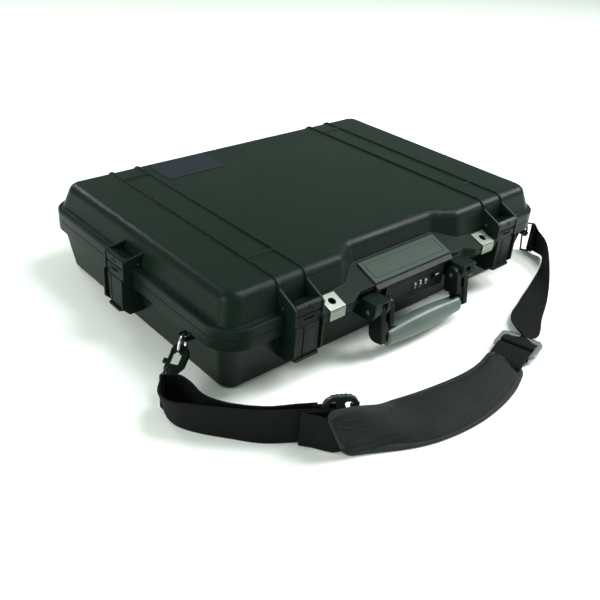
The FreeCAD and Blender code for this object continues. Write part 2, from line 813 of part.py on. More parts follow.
def name_plate():
    """The bare plate on the front ledge, with a fine groove inside its edge."""
    half_length, half_depth = name_plate_length / 2, name_plate_depth / 2
    plate = box(-half_length, half_length, -half_depth, half_depth, 0, name_plate_thickness)
    x, y = half_length - name_groove_margin, half_depth - name_groove_margin
    groove = box(-x, x, -y, y, name_plate_thickness - name_groove_depth, name_plate_thickness + overrun)
    x, y = x - name_groove_width, y - name_groove_width
    groove = groove.cut(box(-x, x, -y, y, 0, name_plate_thickness + overrun))
    back = front_face + wall_inset + recess_depth - name_plate_setback
    middle = back - half_depth * math.cos(math.radians(ledge_angle))
    return on_ledge(plate.cut(groove), middle)


def label_plate():
    """The bare thin plate on top of the lid."""
    x, y = label_length / 2, label_depth / 2
    corners = [(label_x + sx * x, label_y + sy * y, label_corner) for sx, sy in ((1, -1), (1, 1), (-1, 1), (-1, -1))]
    return prism(corners, lid_top, lid_top + label_thickness)


def lid_padlock_guards():
    """The steel guards on the lid's ledge, folded down over its front."""
    guards = []
    slope_depth = guard_plate_depth / math.cos(math.radians(ledge_angle))
    for side in (1, -1):
        x0, x1 = side * padlock_x - guard_plate_width / 2, side * padlock_x + guard_plate_width / 2
        plate = on_ledge(box(x0, x1, 0, slope_depth, 0, guard_plate_thickness), ledge_front)
        front = ledge_front - guard_plate_thickness
        fold = side_profile([(front, lid_bottom), (ledge_front, lid_bottom), (ledge_front, ledge_height(ledge_front)),
                             (ledge_front, ledge_height(ledge_front) + guard_plate_thickness),
                             (front, ledge_height(front))], x0, x1)
        guards.append(fuse([plate, fold]).cut(padlock_hole(side)))
    return guards


def base_padlock_guards():
    """The steel guards on the base's front step, folded under it."""
    guards = []
    low = base_height - base_ledge_height
    front = ledge_front - guard_plate_thickness
    for side in (1, -1):
        x0, x1 = side * padlock_x - guard_plate_width / 2, side * padlock_x + guard_plate_width / 2
        face = box(x0, x1, front, ledge_front, low - guard_plate_thickness, base_height)
        foot = box(x0, x1, ledge_front, front_face, low - guard_plate_thickness, low)
        guards.append(fuse([face, foot]).cut(padlock_hole(side)))
    return guards


def latch_pin(spot):
    """The fixed pin that a latch's link turns on."""
    half = guard_room / 2 + guard_wall
    return at_latch(rod(latch_pin_radius, (-half, link_pin_inset, link_pin_height),
                        (half, link_pin_inset, link_pin_height)), spot)


def lever_pin(spot):
    """The pin between a latch's link and its lever."""
    half = latch_width / 2 - fit_clearance
    return at_latch(rod(latch_pin_radius, (-half, -lever_pin_reach, lever_pin_height),
                        (half, -lever_pin_reach, lever_pin_height)), spot)


def latch_link(spot):
    """The short upper link of a latch, with a slot on its face and one middle knuckle."""
    half = latch_width / 2
    low = lever_pin_height + lever_front + knuckle_gap_above
    top = guard_top_height
    outline = [(link_pin_inset, low), (-link_reach, low), (-link_reach, top - link_top_drop),
               (-lever_pin_reach, top), (link_pin_inset, link_pin_height + link_boss_radius)]
    slab = side_profile(outline, -half, half)
    boss = rod(link_boss_radius, (-half, link_pin_inset, link_pin_height), (half, link_pin_inset, link_pin_height))
    web = box(-knuckle_half, knuckle_half, -lever_pin_reach - knuckle_web, -lever_pin_reach + knuckle_radius,
              lever_pin_height, low)
    knuckle = rod(knuckle_radius, (-knuckle_half, -lever_pin_reach, lever_pin_height),
                  (knuckle_half, -lever_pin_reach, lever_pin_height))
    hinge_bore = rod(latch_pin_radius + running_clearance, (-half - overrun, link_pin_inset, link_pin_height),
                     (half + overrun, link_pin_inset, link_pin_height))
    lever_bore = rod(latch_pin_radius, (-half, -lever_pin_reach, lever_pin_height),
                     (half, -lever_pin_reach, lever_pin_height))
    face_middle = (low + top - link_top_drop) / 2
    slot = box(-link_slot_width / 2, link_slot_width / 2, -link_reach - overrun, -link_reach + link_slot_depth,
               face_middle - link_slot_height / 2, face_middle + link_slot_height / 2)
    notch = box(-link_notch_width / 2, link_notch_width / 2, -link_reach - overrun, -link_reach + link_slot_depth,
                face_middle, top)
    piece = fuse([slab, boss, web, knuckle]).cut([hinge_bore, lever_bore, slot, notch])
    return at_latch(piece, spot)


def latch_lever(spot):
    """The long lower lever of a latch, with its raised panel, lip, inner ribs and catch."""
    half = latch_width / 2
    narrowing = 0 if spot[0] == "front" else side_lever_narrowing
    front = -lever_pin_reach - lever_front
    back = front + lever_thickness
    high = lever_pin_height - latch_pin_radius

    def plate(y0, y1, z0, z1, trim):
        def half_at(z):
            return half - trim - narrowing * (lever_pin_height - z) / (lever_pin_height - lever_bottom)
        low_half, high_half = half_at(z0), half_at(z1)
        corners = [Vector(-low_half, y0, z0), Vector(low_half, y0, z0),
                   Vector(high_half, y0, z1), Vector(-high_half, y0, z1)]
        return Part.Face(Part.makePolygon(corners + corners[:1])).extrude(Vector(0, y1 - y0, 0))

    body = plate(front, back, lever_bottom, high, 0)
    panel = plate(front - lever_panel_raise, front, lever_panel_bottom, lever_panel_top, lever_panel_margin)
    groove = box(-half * panel_start_share - lever_groove_width, -half * panel_start_share,
                 front - lever_panel_raise - overrun, front, lever_panel_bottom, lever_panel_top)
    lip = plate(front - lever_lip_reach, front, lever_bottom, lever_bottom + lever_lip_height, lever_panel_margin)
    catch = plate(back, -catch_gap, catch_bottom, catch_bottom + catch_height, lever_panel_margin)
    pieces = [body, panel.cut(groove), lip, catch]
    for side in (-1, 1):
        place = side * (half - narrowing) * inner_rib_share
        pieces.append(box(place - lever_rib_width / 2, place + lever_rib_width / 2, back, back + lever_rib_depth,
                          lever_rib_bottom, lever_rib_top))
        x0, x1 = sorted((side * (knuckle_half + fit_clearance), side * half))
        pieces.append(rod(knuckle_radius, (x0, -lever_pin_reach, lever_pin_height),
                          (x1, -lever_pin_reach, lever_pin_height)))
    room = knuckle_half + fit_clearance
    notch = box(-room, room, front - overrun, back + overrun, lever_pin_height - knuckle_radius - fit_clearance,
                lever_pin_height)
    bore = rod(latch_pin_radius + running_clearance, (-half - overrun, -lever_pin_reach, lever_pin_height),
               (half + overrun, -lever_pin_reach, lever_pin_height))
    return at_latch(fuse(pieces).cut([notch, bore]), spot)


def handle_pin_y():
    """The handle pins' place along Y."""
    return front_face - handle_pin_reach


def handle_pins():
    """The two pins that the handle turns on."""
    outer = bracket_inner_x + bracket_wall + bracket_slot + bracket_outer_wall
    inner = bracket_inner_x - arm_side_gap - arm_inner_plate
    y = handle_pin_y()
    pin = rod(handle_pin_radius, (inner, y, handle_pin_height), (outer, y, handle_pin_height))
    return [pin, mirrored(pin)]


def tilted(shape):
    """Turn a handle piece, drawn hanging straight down, outwards about its pins."""
    turned = shape.copy()
    turned.rotate(Vector(0, handle_pin_y(), handle_pin_height), Vector(-1, 0, 0), handle_tilt)
    return turned


def grip_place():
    """The middle of the grip as (y, z), while the handle hangs straight."""
    return handle_pin_y() - grip_forward, handle_pin_height - grip_drop


def grip_bar(x):
    """The handle's core bar, out to a place on either side."""
    y, z = grip_place()
    return box(-x, x, y - grip_bar_thickness / 2, y + grip_bar_thickness / 2,
               z - grip_bar_depth / 2, z + grip_bar_depth / 2)


def handle_frame():
    """The handle's two forked arms and the bar between them."""
    y = handle_pin_y()
    half = arm_depth / 2
    bottom = handle_pin_height - arm_length
    slot_x = bracket_inner_x + bracket_wall
    outer = slot_x + arm_side_gap, slot_x + bracket_slot - arm_side_gap
    inner = bracket_inner_x - arm_side_gap - arm_inner_plate, bracket_inner_x - arm_side_gap
    web_top = handle_pin_height - arm_web_drop
    web_bottom = web_top - arm_web_height

    def upright(x0, x1, low, lower_round):
        flat = prism([(y - half, low, lip_round), (y + half, low, lower_round),
                      (y + half, handle_pin_height, lip_round), (y - half, handle_pin_height, lip_round)], x0, x1)
        turn = FreeCAD.Matrix(0, 0, 1, 0, 1, 0, 0, 0, 0, 1, 0, 0)
        block = flat.transformGeometry(turn)
        return block.fuse(rod(half, (x0, y, handle_pin_height), (x1, y, handle_pin_height)))

    plates = [upright(outer[0], outer[1], bottom, arm_bottom_round),
              upright(inner[0], inner[1], web_bottom, lip_round)]
    web = box(inner[0], outer[1], y - half + arm_web_setback, y + half - lip_round, web_bottom, web_top)
    foot = box(bracket_inner_x, outer[1], y - half + lip_round, y + half - lip_round,
               bottom + arm_bottom_round, web_top)
    arm = fuse(plates + [web, foot])
    bore = rod(handle_pin_radius + running_clearance, (inner[0] - overrun, y, handle_pin_height),
               (outer[1] + overrun, y, handle_pin_height))
    arm = arm.cut(bore)
    return tilted(fuse([arm, mirrored(arm), grip_bar(outer[0])]))


def grip_section(x, height, thickness, rounding):
    """One rounded upright section of the grip."""
    y, z = grip_place()
    half_y, half_z = thickness / 2, height / 2
    corners = [(y - half_y, z - half_z, rounding), (y + half_y, z - half_z, rounding),
               (y + half_y, z + half_z, rounding), (y - half_y, z + half_z, rounding)]
    turn = FreeCAD.Matrix(0, 0, 1, 0, 1, 0, 0, 0, 0, 1, 0, 0)
    return rounded_outline(corners, x).transformGeometry(turn)


def handle_grip():
    """The soft grip around the handle's bar, fuller towards its middle."""
    end = bracket_inner_x
    sizes = [(end, grip_end_height, grip_end_thickness), (grip_shoulder_x, grip_end_height, grip_end_thickness),
             (grip_middle_x, grip_middle_height, grip_middle_thickness)]
    stations = [(-x, h, t) for x, h, t in sizes] + [(x, h, t) for x, h, t in reversed(sizes)]
    wires = [grip_section(x, h, t, t * grip_round_share) for x, h, t in stations]
    return tilted(Part.makeLoft(wires, True, True).cut(grip_bar(end + overrun)))


def dial_x(number):
    """A dial's place along X, counted from the left."""
    return dial_middle_x + (number - 1) * dial_pitch


def dial_y():
    """The dials' axis along Y."""
    return lock_front() - dial_stand_out + dial_radius


def dial_room(number):
    """The slot in the lock that one dial turns in."""
    half = dial_width / 2 + dial_slot_gap
    x = dial_x(number)
    return rod(dial_radius + dial_slot_gap, (x - half, dial_y(), dial_height), (x + half, dial_y(), dial_height))


def spindle(radius, grow):
    """The dials' common spindle."""
    low = dial_x(0) - dial_width / 2 - spindle_end - grow
    high = dial_x(dial_count - 1) + dial_width / 2 + spindle_end / 2 + grow
    return rod(radius, (low, dial_y(), dial_height), (high, dial_y(), dial_height))


def lock_dial(number):
    """One ridged number dial."""
    x = dial_x(number)
    half = dial_width / 2
    wheel = rod(dial_radius, (x - half, dial_y(), dial_height), (x + half, dial_y(), dial_height))
    cuts = [rod(spindle_radius + running_clearance, (x - half - overrun, dial_y(), dial_height),
                (x + half + overrun, dial_y(), dial_height))]
    for i in range(dial_knurls):
        groove = box(x - half - overrun, x + half + overrun, dial_y() - dial_knurl_width / 2,
                     dial_y() + dial_knurl_width / 2, dial_height + dial_radius - dial_knurl_depth,
                     dial_height + dial_radius + overrun)
        groove.rotate(Vector(x, dial_y(), dial_height), Vector(1, 0, 0), 360 * i / dial_knurls)
        cuts.append(groove)
    return wheel.cut(cuts)


def lock_housing():
    """The lock's plate and body, with room for dials, button, bolt and keeper."""
    body = fuse([lock_plate_box(0), lock_body_box(0)])
    cuts = [dial_room(number) for number in range(dial_count)]
    cuts.append(spindle(spindle_radius + running_clearance, running_clearance))
    cuts.append(keeper_slot())
    y = lock_front()
    gap = fit_clearance
    left = button_x - button_width / 2 - button_travel - gap
    cuts.append(box(left, button_x + button_width / 2 + gap, y - overrun, y + lock_plate_thickness,
                    button_z - button_height / 2 - gap, button_z + button_height / 2 + gap))
    cuts.append(box(bolt_left - button_travel - keeper_slot_gap, bolt_right + gap, y + lock_plate_thickness,
                    bolt_y() + bolt_size / 2 + gap, button_z - button_stem / 2 - gap, bolt_z + bolt_size / 2 + gap))
    return body.cut(cuts)


def lock_button():
    """The sliding button in front of the lock, with its stem."""
    y = lock_front()
    half = button_width / 2
    cap = box(button_x - half, button_x + half, y - button_stand_out, y + lock_plate_thickness,
              button_z - button_height / 2, button_z + button_height / 2)
    stem = box(button_x - button_stem / 2, button_x + button_stem / 2, y + lock_plate_thickness,
               bolt_y() - bolt_size / 2, button_z - button_stem / 2, bolt_z + bolt_size / 2)
    return fuse([cap, stem])


def lock_bolt():
    """The sliding bolt behind the button."""
    y = bolt_y()
    return box(bolt_left, bolt_right, y - bolt_size / 2, y + bolt_size / 2,
               bolt_z - bolt_size / 2, bolt_z + bolt_size / 2)


def lock_keeper():
    """The lid's keeper tongue, with the hole that the bolt slides into."""
    tongue = keeper_box(0, lid_bottom - keeper_drop, lid_bottom + keeper_root)
    half = keeper_hole / 2
    hole = box(keeper_x - keeper_thickness, keeper_x + keeper_thickness, bolt_y() - half, bolt_y() + half,
               bolt_z - half, bolt_z + half)
    return tongue.cut(hole)


def valve_body():
    """The valve's cap and stem, with its chamber, bore and vents."""
    seat = valve_boss_outer_inset
    inner_end = valve_boss_inner_inset + valve_inner_length
    cap = valve_rod(valve_cap_radius, seat, seat - valve_cap_height)
    stem = valve_rod(valve_stem_radius, inner_end, seat)
    chamber = valve_rod(valve_chamber_radius, seat, seat - valve_cap_height / 2)
    bore = valve_rod(valve_bore_radius, inner_end + overrun, seat)
    cuts = [chamber, bore]
    for i in range(valve_vents):
        turn = 2 * math.pi * i / valve_vents
        y = valve_y + valve_chamber_radius / 2 * math.cos(turn)
        z = valve_z + valve_chamber_radius / 2 * math.sin(turn)
        cuts.append(rod(valve_vent_radius, (right_face - seat, y, z),
                        (right_face - seat + valve_cap_height + overrun, y, z)))
    return fuse([cap, stem]).cut(cuts)


def valve_nut():
    """The six-sided nut inside the wall."""
    seat = valve_boss_inner_inset
    x = right_face - seat
    corners = []
    for i in range(6):
        turn = math.pi * i / 3
        y = valve_y + valve_nut_radius * math.cos(turn)
        corners.append(Vector(x, y, valve_z + valve_nut_radius * math.sin(turn)))
    nut = Part.Face(Part.makePolygon(corners + corners[:1])).extrude(Vector(-valve_nut_height, 0, 0))
    return nut.cut(valve_rod(valve_stem_radius, seat + valve_nut_height + overrun, seat - overrun))


def valve_membrane():
    """The thin disc in the valve's chamber."""
    seat = valve_boss_outer_inset
    return valve_rod(valve_chamber_radius - fit_clearance, seat, seat - membrane_thickness)


def lug(side):
    """A flat lug that stands out of the base's side wall, with an upright hole."""
    low, high = lug_z - lug_thickness / 2, lug_z + lug_thickness / 2
    x0, x1 = right_face - lug_root, right_face + lug_reach
    half = lug_width / 2
    corners = [(x0, lug_y - half, lip_round), (x1, lug_y - half, lug_round),
               (x1, lug_y + half, lug_round), (x0, lug_y + half, lip_round)]
    hole = rod(lug_hole_radius, (right_face - lug_hole_inset, lug_y, low - overrun),
               (right_face - lug_hole_inset, lug_y, high + overrun))
    piece = prism(corners, low, high).cut(hole)
    return piece if side > 0 else mirrored(piece)


def anchor(side):
    """The middle of a lug's hole and the straight pull from it to the strap's eye, as (point, pull)."""
    point = Vector(side * (right_face - lug_hole_inset), lug_y, lug_z)
    drop = eye_middle_height - lug_z
    run = math.sqrt(chain_length ** 2 - drop ** 2)
    heading = math.radians(right_heading if side > 0 else left_heading)
    return point, Vector(side * run * math.cos(heading), -run * math.sin(heading), drop).normalize()


def hook_placement(side, along):
    """Place for a piece drawn with its pull along +X and its gate towards +Y."""
    point, pull = anchor(side)
    across = Vector(0, 0, side).cross(pull).normalize()
    up = pull.cross(across)
    place = point + pull * along
    return FreeCAD.Placement(FreeCAD.Matrix(pull.x, across.x, up.x, place.x,
                                            pull.y, across.y, up.y, place.y,
                                            pull.z, across.z, up.z, place.z))


def placed(shape, placement):
    """A copy of a piece at a placement."""
    moved = shape.copy()
    moved.Placement = placement.multiply(moved.Placement)
    return moved


def strap_ring(side):
    """The round wire ring through a lug's hole."""
    ring = Part.makeTorus(ring_radius, ring_wire, Vector(ring_radius, 0, 0), Vector(0, 1, 0))
    return placed(ring, hook_placement(side, 0))


def snap_hook(side):
    """The hook's arch, body, neck and swivel stud."""
    half = hook_thickness / 2
    inner_low, inner_high = -hook_room / 2, hook_room / 2
    outer_high = inner_high + hook_gate_side
    outer_low = inner_low - hook_back
    outline = [(-hook_arch, outer_low, hook_back + hook_round), (hook_opening, outer_low, hook_round),
               (hook_body_end, -hook_neck_radius, lip_round), (hook_body_end, hook_neck_radius, lip_round),
               (gate_slot_end, outer_high, hook_round), (-hook_arch, outer_high, hook_back)]
    plate = prism(outline, -half, half)
    rims = [edge for edge in plate.Edges if abs(abs(edge.BoundBox.ZMin) - half) < link_gap
            and abs(edge.BoundBox.ZMax - edge.BoundBox.ZMin) < link_gap]
    plate = plate.makeFillet(hook_edge_round, rims)
    room = [(0, inner_low, hook_round), (hook_opening, inner_low, lip_round),
            (hook_opening, inner_high, lip_round), (0, inner_high, hook_round)]
    cut_room = prism(room, -half - overrun, half + overrun)
    gate_room = box(hook_nose, hook_opening + overrun, inner_high - overrun, outer_high + hook_back,
                    -half - overrun, half + overrun)
    slot = box(hook_opening - overrun, gate_slot_end, -running_clearance, outer_high + hook_back,
               -gate_thickness / 2 - link_gap, gate_thickness / 2 + link_gap)
    pivot_y = inner_high + link_gap + gate_bar / 2
    bore = rod(gate_pin_radius + running_clearance, (gate_pivot, pivot_y, -half - overrun),
               (gate_pivot, pivot_y, half + overrun))
    neck = rod(hook_neck_radius, (hook_body_end - hook_round, 0, 0), (hook_neck_end, 0, 0))
    stud_end = hook_neck_end + eye_boss_length + 2 * link_gap
    stud = rod(stud_radius, (hook_neck_end, 0, 0), (stud_end, 0, 0))
    head = rod(stud_head_radius, (stud_end, 0, 0), (stud_end + stud_head_height, 0, 0))
    piece = fuse([plate.cut([cut_room, gate_room, slot, bore]), neck, stud, head])
    return placed(piece, hook_placement(side, hook_start))


def hook_gate(side):
    """The hook's sprung gate with its thumb nub and pivot."""
    inner = hook_room / 2 + link_gap
    half = gate_thickness / 2
    outer = inner + gate_bar
    bar = [(hook_nose + link_gap, inner, running_clearance), (gate_pivot + gate_bar / 2, inner, lip_round),
           (gate_pivot + gate_bar / 2, outer, lip_round), (hook_nose + link_gap, outer, running_clearance)]
    nub_end = hook_opening - link_gap
    nub = box(nub_end - gate_nub_length, nub_end, outer - running_clearance, outer + gate_nub, -half, half)
    pin = rod(gate_pin_radius, (gate_pivot, inner + gate_bar / 2, -hook_thickness / 2),
              (gate_pivot, inner + gate_bar / 2, hook_thickness / 2))
    return placed(fuse([prism(bar, -half, half), nub, pin]), hook_placement(side, hook_start))


def eye_point(side):
    """The middle of the upright bar that the webbing turns round."""
    point, pull = anchor(side)
    return point + pull * chain_length


def swivel_eye(side):
    """The upright wire frame round the webbing, with the boss that the hook's stud turns in."""
    boss_start = hook_start + hook_neck_end + link_gap
    boss = rod(eye_boss_radius, (0, 0, 0), (eye_boss_length, 0, 0))
    boss = placed(boss, hook_placement(side, boss_start))
    bore = rod(stud_radius + running_clearance, (-overrun, 0, 0), (eye_boss_length + overrun, 0, 0))
    bore = placed(bore, hook_placement(side, boss_start))
    point, pull = anchor(side)
    near = point + pull * (boss_start + eye_boss_length / 2)
    far = eye_point(side)
    low, high = eye_wire, 2 * eye_middle_height - eye_wire
    across = Vector(0, 0, -side).cross(pull).normalize()
    root = across.cross(pull) * (side * (eye_boss_radius + eye_wire))
    frame = [boss, rod(eye_wire, (far.x, far.y, low), (far.x, far.y, high))]
    for z, end in ((low, near - root), (high, near + root)):
        corner = (near.x, near.y, z)
        frame.append(rod(eye_wire, near, end))
        frame.append(rod(eye_wire, end, corner))
        frame.append(rod(eye_wire, corner, (far.x, far.y, z)))
        frame += [Part.makeSphere(eye_wire, Vector(*spot)) for spot in (end, corner, (far.x, far.y, z))]
    return fuse(frame).cut(bore)


def floor_stations(shares):
    """Webbing edges as pairs of points from a table of shares."""
    left, right = eye_point(-1), eye_point(1)
    stations = []
    for toward, a, b, c, d, e, f in shares:
        start = left + (right - left) * toward
        start.z = 0
        stations.append((start + Vector(a, b, c) * webbing_width, start + Vector(d, e, f) * webbing_width))
    return stations


def eased(points, parts):
    """A smooth run of points through given ones, with equal parts between them."""
    run = []
    for i in range(len(points) - 1):
        before = points[max(i - 1, 0)]
        start, end = points[i], points[i + 1]
        after = points[min(i + 2, len(points) - 1)]
        for k in range(parts):
            t = k / parts
            curve = start * 2 + (end - before) * t + (before * 2 - start * 5 + end * 4 - after) * t ** 2
            curve += (start * 3 - before - end * 3 + after) * t ** 3
            run.append(curve / 2)
    return run + [points[-1]]


def eased_stations(stations, parts):
    """The same for pairs of edge points."""
    lows = eased([low for low, high in stations], parts)
    highs = eased([high for low, high in stations], parts)
    return list(zip(lows, highs))


def ribbon(stations):
    """A strip of webbing through pairs of edge points."""
    sections = []
    last = len(stations) - 1
    for i, (low, high) in enumerate(stations):
        before, after = stations[max(i - 1, 0)], stations[min(i + 1, last)]
        along = after[0] + after[1] - before[0] - before[1]
        side = along.cross(high - low).normalize() * (webbing_thickness / 2)
        corners = [low - side, low + side, high + side, high - side]
        sections.append(Part.makePolygon(corners + corners[:1]))
    return Part.makeLoft(sections, True, True)


def slider_frame(side):
    """A slider's middle and its directions along, across and out from the webbing."""
    shares = right_slider_shares if side > 0 else left_slider_shares
    heading = math.radians(right_slider_heading if side > 0 else left_slider_heading)
    along = Vector(math.cos(heading), math.sin(heading), 0)
    across = Vector(-math.sin(heading), math.cos(heading), 0) if side > 0 else Vector(0, 0, 1)
    height = right_slider_height if side > 0 else slider_side + slider_slot_gap + webbing_width / 2
    eye = eye_point(-1)
    middle = Vector(eye.x + shares[0] * webbing_width, eye.y + shares[1] * webbing_width, height)
    return middle, along, across, along.cross(across)


def at_slider(side, shares, reach):
    """Webbing edges from shares of the webbing width along and out from a slider."""
    middle, along, across, out = slider_frame(side)
    stations = []
    for a, b in shares:
        point = middle + along * (reach * a * webbing_width) + out * (b * webbing_width)
        stations.append((point - across * (webbing_width / 2), point + across * (webbing_width / 2)))
    return stations


def slider(side):
    """A three-bar slider with two slots and ridges on one end."""
    half = slider_bar + slider_bar / 2 + slider_slot
    tall = webbing_width / 2 + slider_slot_gap + slider_side
    corners = [(sx * half, sy * tall, slider_round) for sx, sy in ((1, -1), (1, 1), (-1, 1), (-1, -1))]
    plate = prism(corners, -slider_thickness / 2, slider_thickness / 2)
    open_half = tall - slider_side
    near, far = slider_bar / 2, slider_bar / 2 + slider_slot
    slots = [box(x0, x1, -open_half, open_half, -slider_thickness, slider_thickness)
             for x0, x1 in ((near, far), (-far, -near))]
    plate = plate.cut(slots)
    ridges = []
    for i in range(slider_ridges):
        x = (i - (slider_ridges - 1) / 2) * half / slider_ridges * slider_ridge_share
        ridges.append(box(x - slider_ridge_width / 2, x + slider_ridge_width / 2, tall - slider_side,
                          tall + slider_ridge_height, -slider_thickness / 2, slider_thickness / 2))
    middle, along, across, out = slider_frame(side)
    place = FreeCAD.Placement(FreeCAD.Matrix(along.x, across.x, out.x, middle.x,
                                             along.y, across.y, out.y, middle.y,
                                             along.z, across.z, out.z, middle.z))
    return placed(fuse([plate] + ridges), place)


def eye_loop(side, start):
    """Webbing edges round an eye's bar, from a starting angle."""
    point = eye_point(side)
    turns = [start + side * loop_turn_step * i for i in range(loop_turns)]
    reach = eye_wire + webbing_gap + webbing_thickness / 2
    half = Vector(0, 0, webbing_width / 2)
    stations = []
    for turn in turns:
        spot = point + Vector(math.cos(math.radians(turn)), math.sin(math.radians(turn)), 0) * reach
        stations.append((spot - half, spot + half))
    return stations


def left_webbing():
    """The left length of webbing, round the slider's middle bar, out to the left eye and back."""
    fold = at_slider(-1, fold_shares, 1)
    outer = floor_stations(left_outer_shares)
    inner = floor_stations(left_inner_shares)
    loop = eye_loop(-1, left_loop_start)
    way_out = eased_stations(fold[-1:] + outer[::-1] + loop[:1], webbing_parts)
    way_back = eased_stations(loop[-1:] + inner, webbing_parts)
    return ribbon(fold[:-1] + way_out + loop[1:-1] + way_back)


def right_webbing():
    """The right length of webbing, round the slider's middle bar and out to the right eye."""
    fold = at_slider(1, fold_shares, -1)
    loop = eye_loop(1, right_loop_start)
    way_out = eased_stations(fold[-1:] + floor_stations(right_shares) + loop[:1], webbing_parts)
    return ribbon(fold[:-1] + way_out + loop[1:] + floor_stations(right_tail_shares))


def end_loop(side):
    """The short webbing between the shoulder pad and a slider."""
    return ribbon(at_slider(side, right_end_shares if side > 0 else left_end_shares, 1))


def shoulder_pad():
    """The soft shoulder pad, crowned on top, with the webbing ends let into it."""
    stations = eased_stations(floor_stations(pad_shares), webbing_parts)
    last = len(stations) - 1
    sections = []
    for i, (outer, inner) in enumerate(stations):
        before, after = stations[max(i - 1, 0)], stations[min(i + 1, last)]
        along = after[0] + after[1] - before[0] - before[1]
        out = along.cross(inner - outer).normalize()
        upper = [outer + (inner - outer) * a + out * (pad_edge / 2 + pad_crown * b) for a, b in pad_section_shares]
        lower = [outer + (inner - outer) * a - out * (pad_edge / 2 + pad_below * b) for a, b in pad_section_shares]
        ring = upper + lower[::-1]
        sections.append(Part.makePolygon(ring + ring[:1]))
    return Part.makeLoft(sections, True, True).cut([end_loop(1), end_loop(-1)])


def name_of(spot):
    """A latch's name from its place."""
    face, place = spot
    if face == "front":
        return "front_left" if place < 0 else "front_right"
    return face


pieces = {
    "base_shell": base_shell(),
    "base_foam_liner": base_foam(),
    "lid_shell": lid_shell(),
    "lid_foam": lid_foam(),
    "lid_seal": seal_ring(),
    "name_plate": name_plate(),
    "label_plate": label_plate(),
    "lid_padlock_guards": Part.makeCompound(lid_padlock_guards()),
    "base_padlock_guards": Part.makeCompound(base_padlock_guards()),
    "hinge_pins": Part.makeCompound(hinge_pins()),
    "latch_pins": Part.makeCompound([latch_pin(spot) for spot in latch_spots]),
    "handle_frame": handle_frame(),
    "handle_grip": handle_grip(),
    "handle_pivot_pins": Part.makeCompound(handle_pins()),
    "lock_housing": lock_housing(),
    "lock_spindle": spindle(spindle_radius, 0),
    "lock_button": lock_button(),
    "lock_bolt": lock_bolt(),
    "lock_keeper": lock_keeper(),
    "valve_body": valve_body(),
    "valve_nut": valve_nut(),
    "valve_membrane": valve_membrane(),
    "strap_lugs": Part.makeCompound([lug(1), lug(-1)]),
    "strap_webbing_left": left_webbing(),
    "strap_webbing_right": right_webbing(),
    "shoulder_pad": shoulder_pad(),
}
for spot in latch_spots:
    pieces["latch_" + name_of(spot) + "_link"] = latch_link(spot)
    pieces["latch_" + name_of(spot) + "_lever"] = latch_lever(spot)
    pieces["latch_" + name_of(spot) + "_lever_pin"] = lever_pin(spot)
for number in range(dial_count):
    pieces["lock_dial_%d" % (number + 1)] = lock_dial(number)
for side, word in ((-1, "left"), (1, "right")):
    pieces["strap_ring_" + word] = strap_ring(side)
    pieces["snap_hook_" + word] = snap_hook(side)
    pieces["hook_gate_" + word] = hook_gate(side)
    pieces["swivel_eye_" + word] = swivel_eye(side)
    pieces["slider_" + word] = slider(side)
    pieces["strap_end_loop_" + word] = end_loop(side)

os.makedirs("parts", exist_ok=True)
for name, shape in pieces.items():
    shape.exportStep("parts/" + name + ".step")
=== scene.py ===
# %% [markdown]
# # A laptop hard case with a shoulder strap
#
# The case lies on a pale floor. Its moulded halves, pins, latches and lock come from the CAD model, and this
# lesson gives each of them a finish and the moulded ones softened edges. The soft pieces, which are the
# webbing, the shoulder pad and the foam, get their own finishes; the webbing and the pad are made here, the
# pad stitched.

# %% Load the frame
import bpy
import bmesh
import json
import math
from mathutils import Matrix, Vector
from mathutils.bvhtree import BVHTree


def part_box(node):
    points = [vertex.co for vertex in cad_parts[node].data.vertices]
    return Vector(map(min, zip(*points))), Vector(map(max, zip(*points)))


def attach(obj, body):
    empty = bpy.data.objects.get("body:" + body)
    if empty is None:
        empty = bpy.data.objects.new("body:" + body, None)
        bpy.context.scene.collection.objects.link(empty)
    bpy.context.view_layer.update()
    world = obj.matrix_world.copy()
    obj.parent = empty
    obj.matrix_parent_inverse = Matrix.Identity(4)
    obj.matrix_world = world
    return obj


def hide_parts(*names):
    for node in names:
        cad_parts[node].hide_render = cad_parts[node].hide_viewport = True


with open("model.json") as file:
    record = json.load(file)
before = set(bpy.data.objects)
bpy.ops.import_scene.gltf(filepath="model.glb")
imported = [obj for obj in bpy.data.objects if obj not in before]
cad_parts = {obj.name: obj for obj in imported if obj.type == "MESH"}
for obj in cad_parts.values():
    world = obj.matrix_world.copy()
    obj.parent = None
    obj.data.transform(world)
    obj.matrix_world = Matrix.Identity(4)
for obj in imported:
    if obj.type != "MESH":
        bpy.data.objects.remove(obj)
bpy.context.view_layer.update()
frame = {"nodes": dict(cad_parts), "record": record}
nodes = frame["nodes"]
body_of = {name: body for body, names in frame["record"]["behaviour"]["bodies"].items() for name in names}

# %% [markdown]
# Some small jobs come back many times: an object that joins the scene, a draft that is turned into a plain
# mesh, a new material, and a node whose inputs are plain values or come from other nodes.

# %% Helpers
scene = bpy.context.scene


def placed(name, data):
    """A new object in the scene."""
    made = bpy.data.objects.new(name, data)
    scene.collection.objects.link(made)
    return made


def baked(draft):
    """A plain mesh of a draft with its modifiers applied. The draft goes."""
    bpy.context.view_layer.update()
    final = bpy.data.meshes.new_from_object(draft.evaluated_get(bpy.context.evaluated_depsgraph_get()))
    bpy.data.objects.remove(draft)
    return final


def add_node(tree, kind, inputs):
    """A new node, with each input set to a plain value or linked to a socket."""
    node = tree.nodes.new(kind)
    for label, value in dict(inputs).items():
        if isinstance(value, bpy.types.NodeSocket):
            tree.links.new(value, node.inputs[label])
        else:
            node.inputs[label].default_value = value
    return node


def math_node(tree, operation, *values):
    """The result of a math node fed by sockets or plain numbers."""
    node = add_node(tree, "ShaderNodeMath", enumerate(values))
    node.operation = operation
    return node.outputs[0]


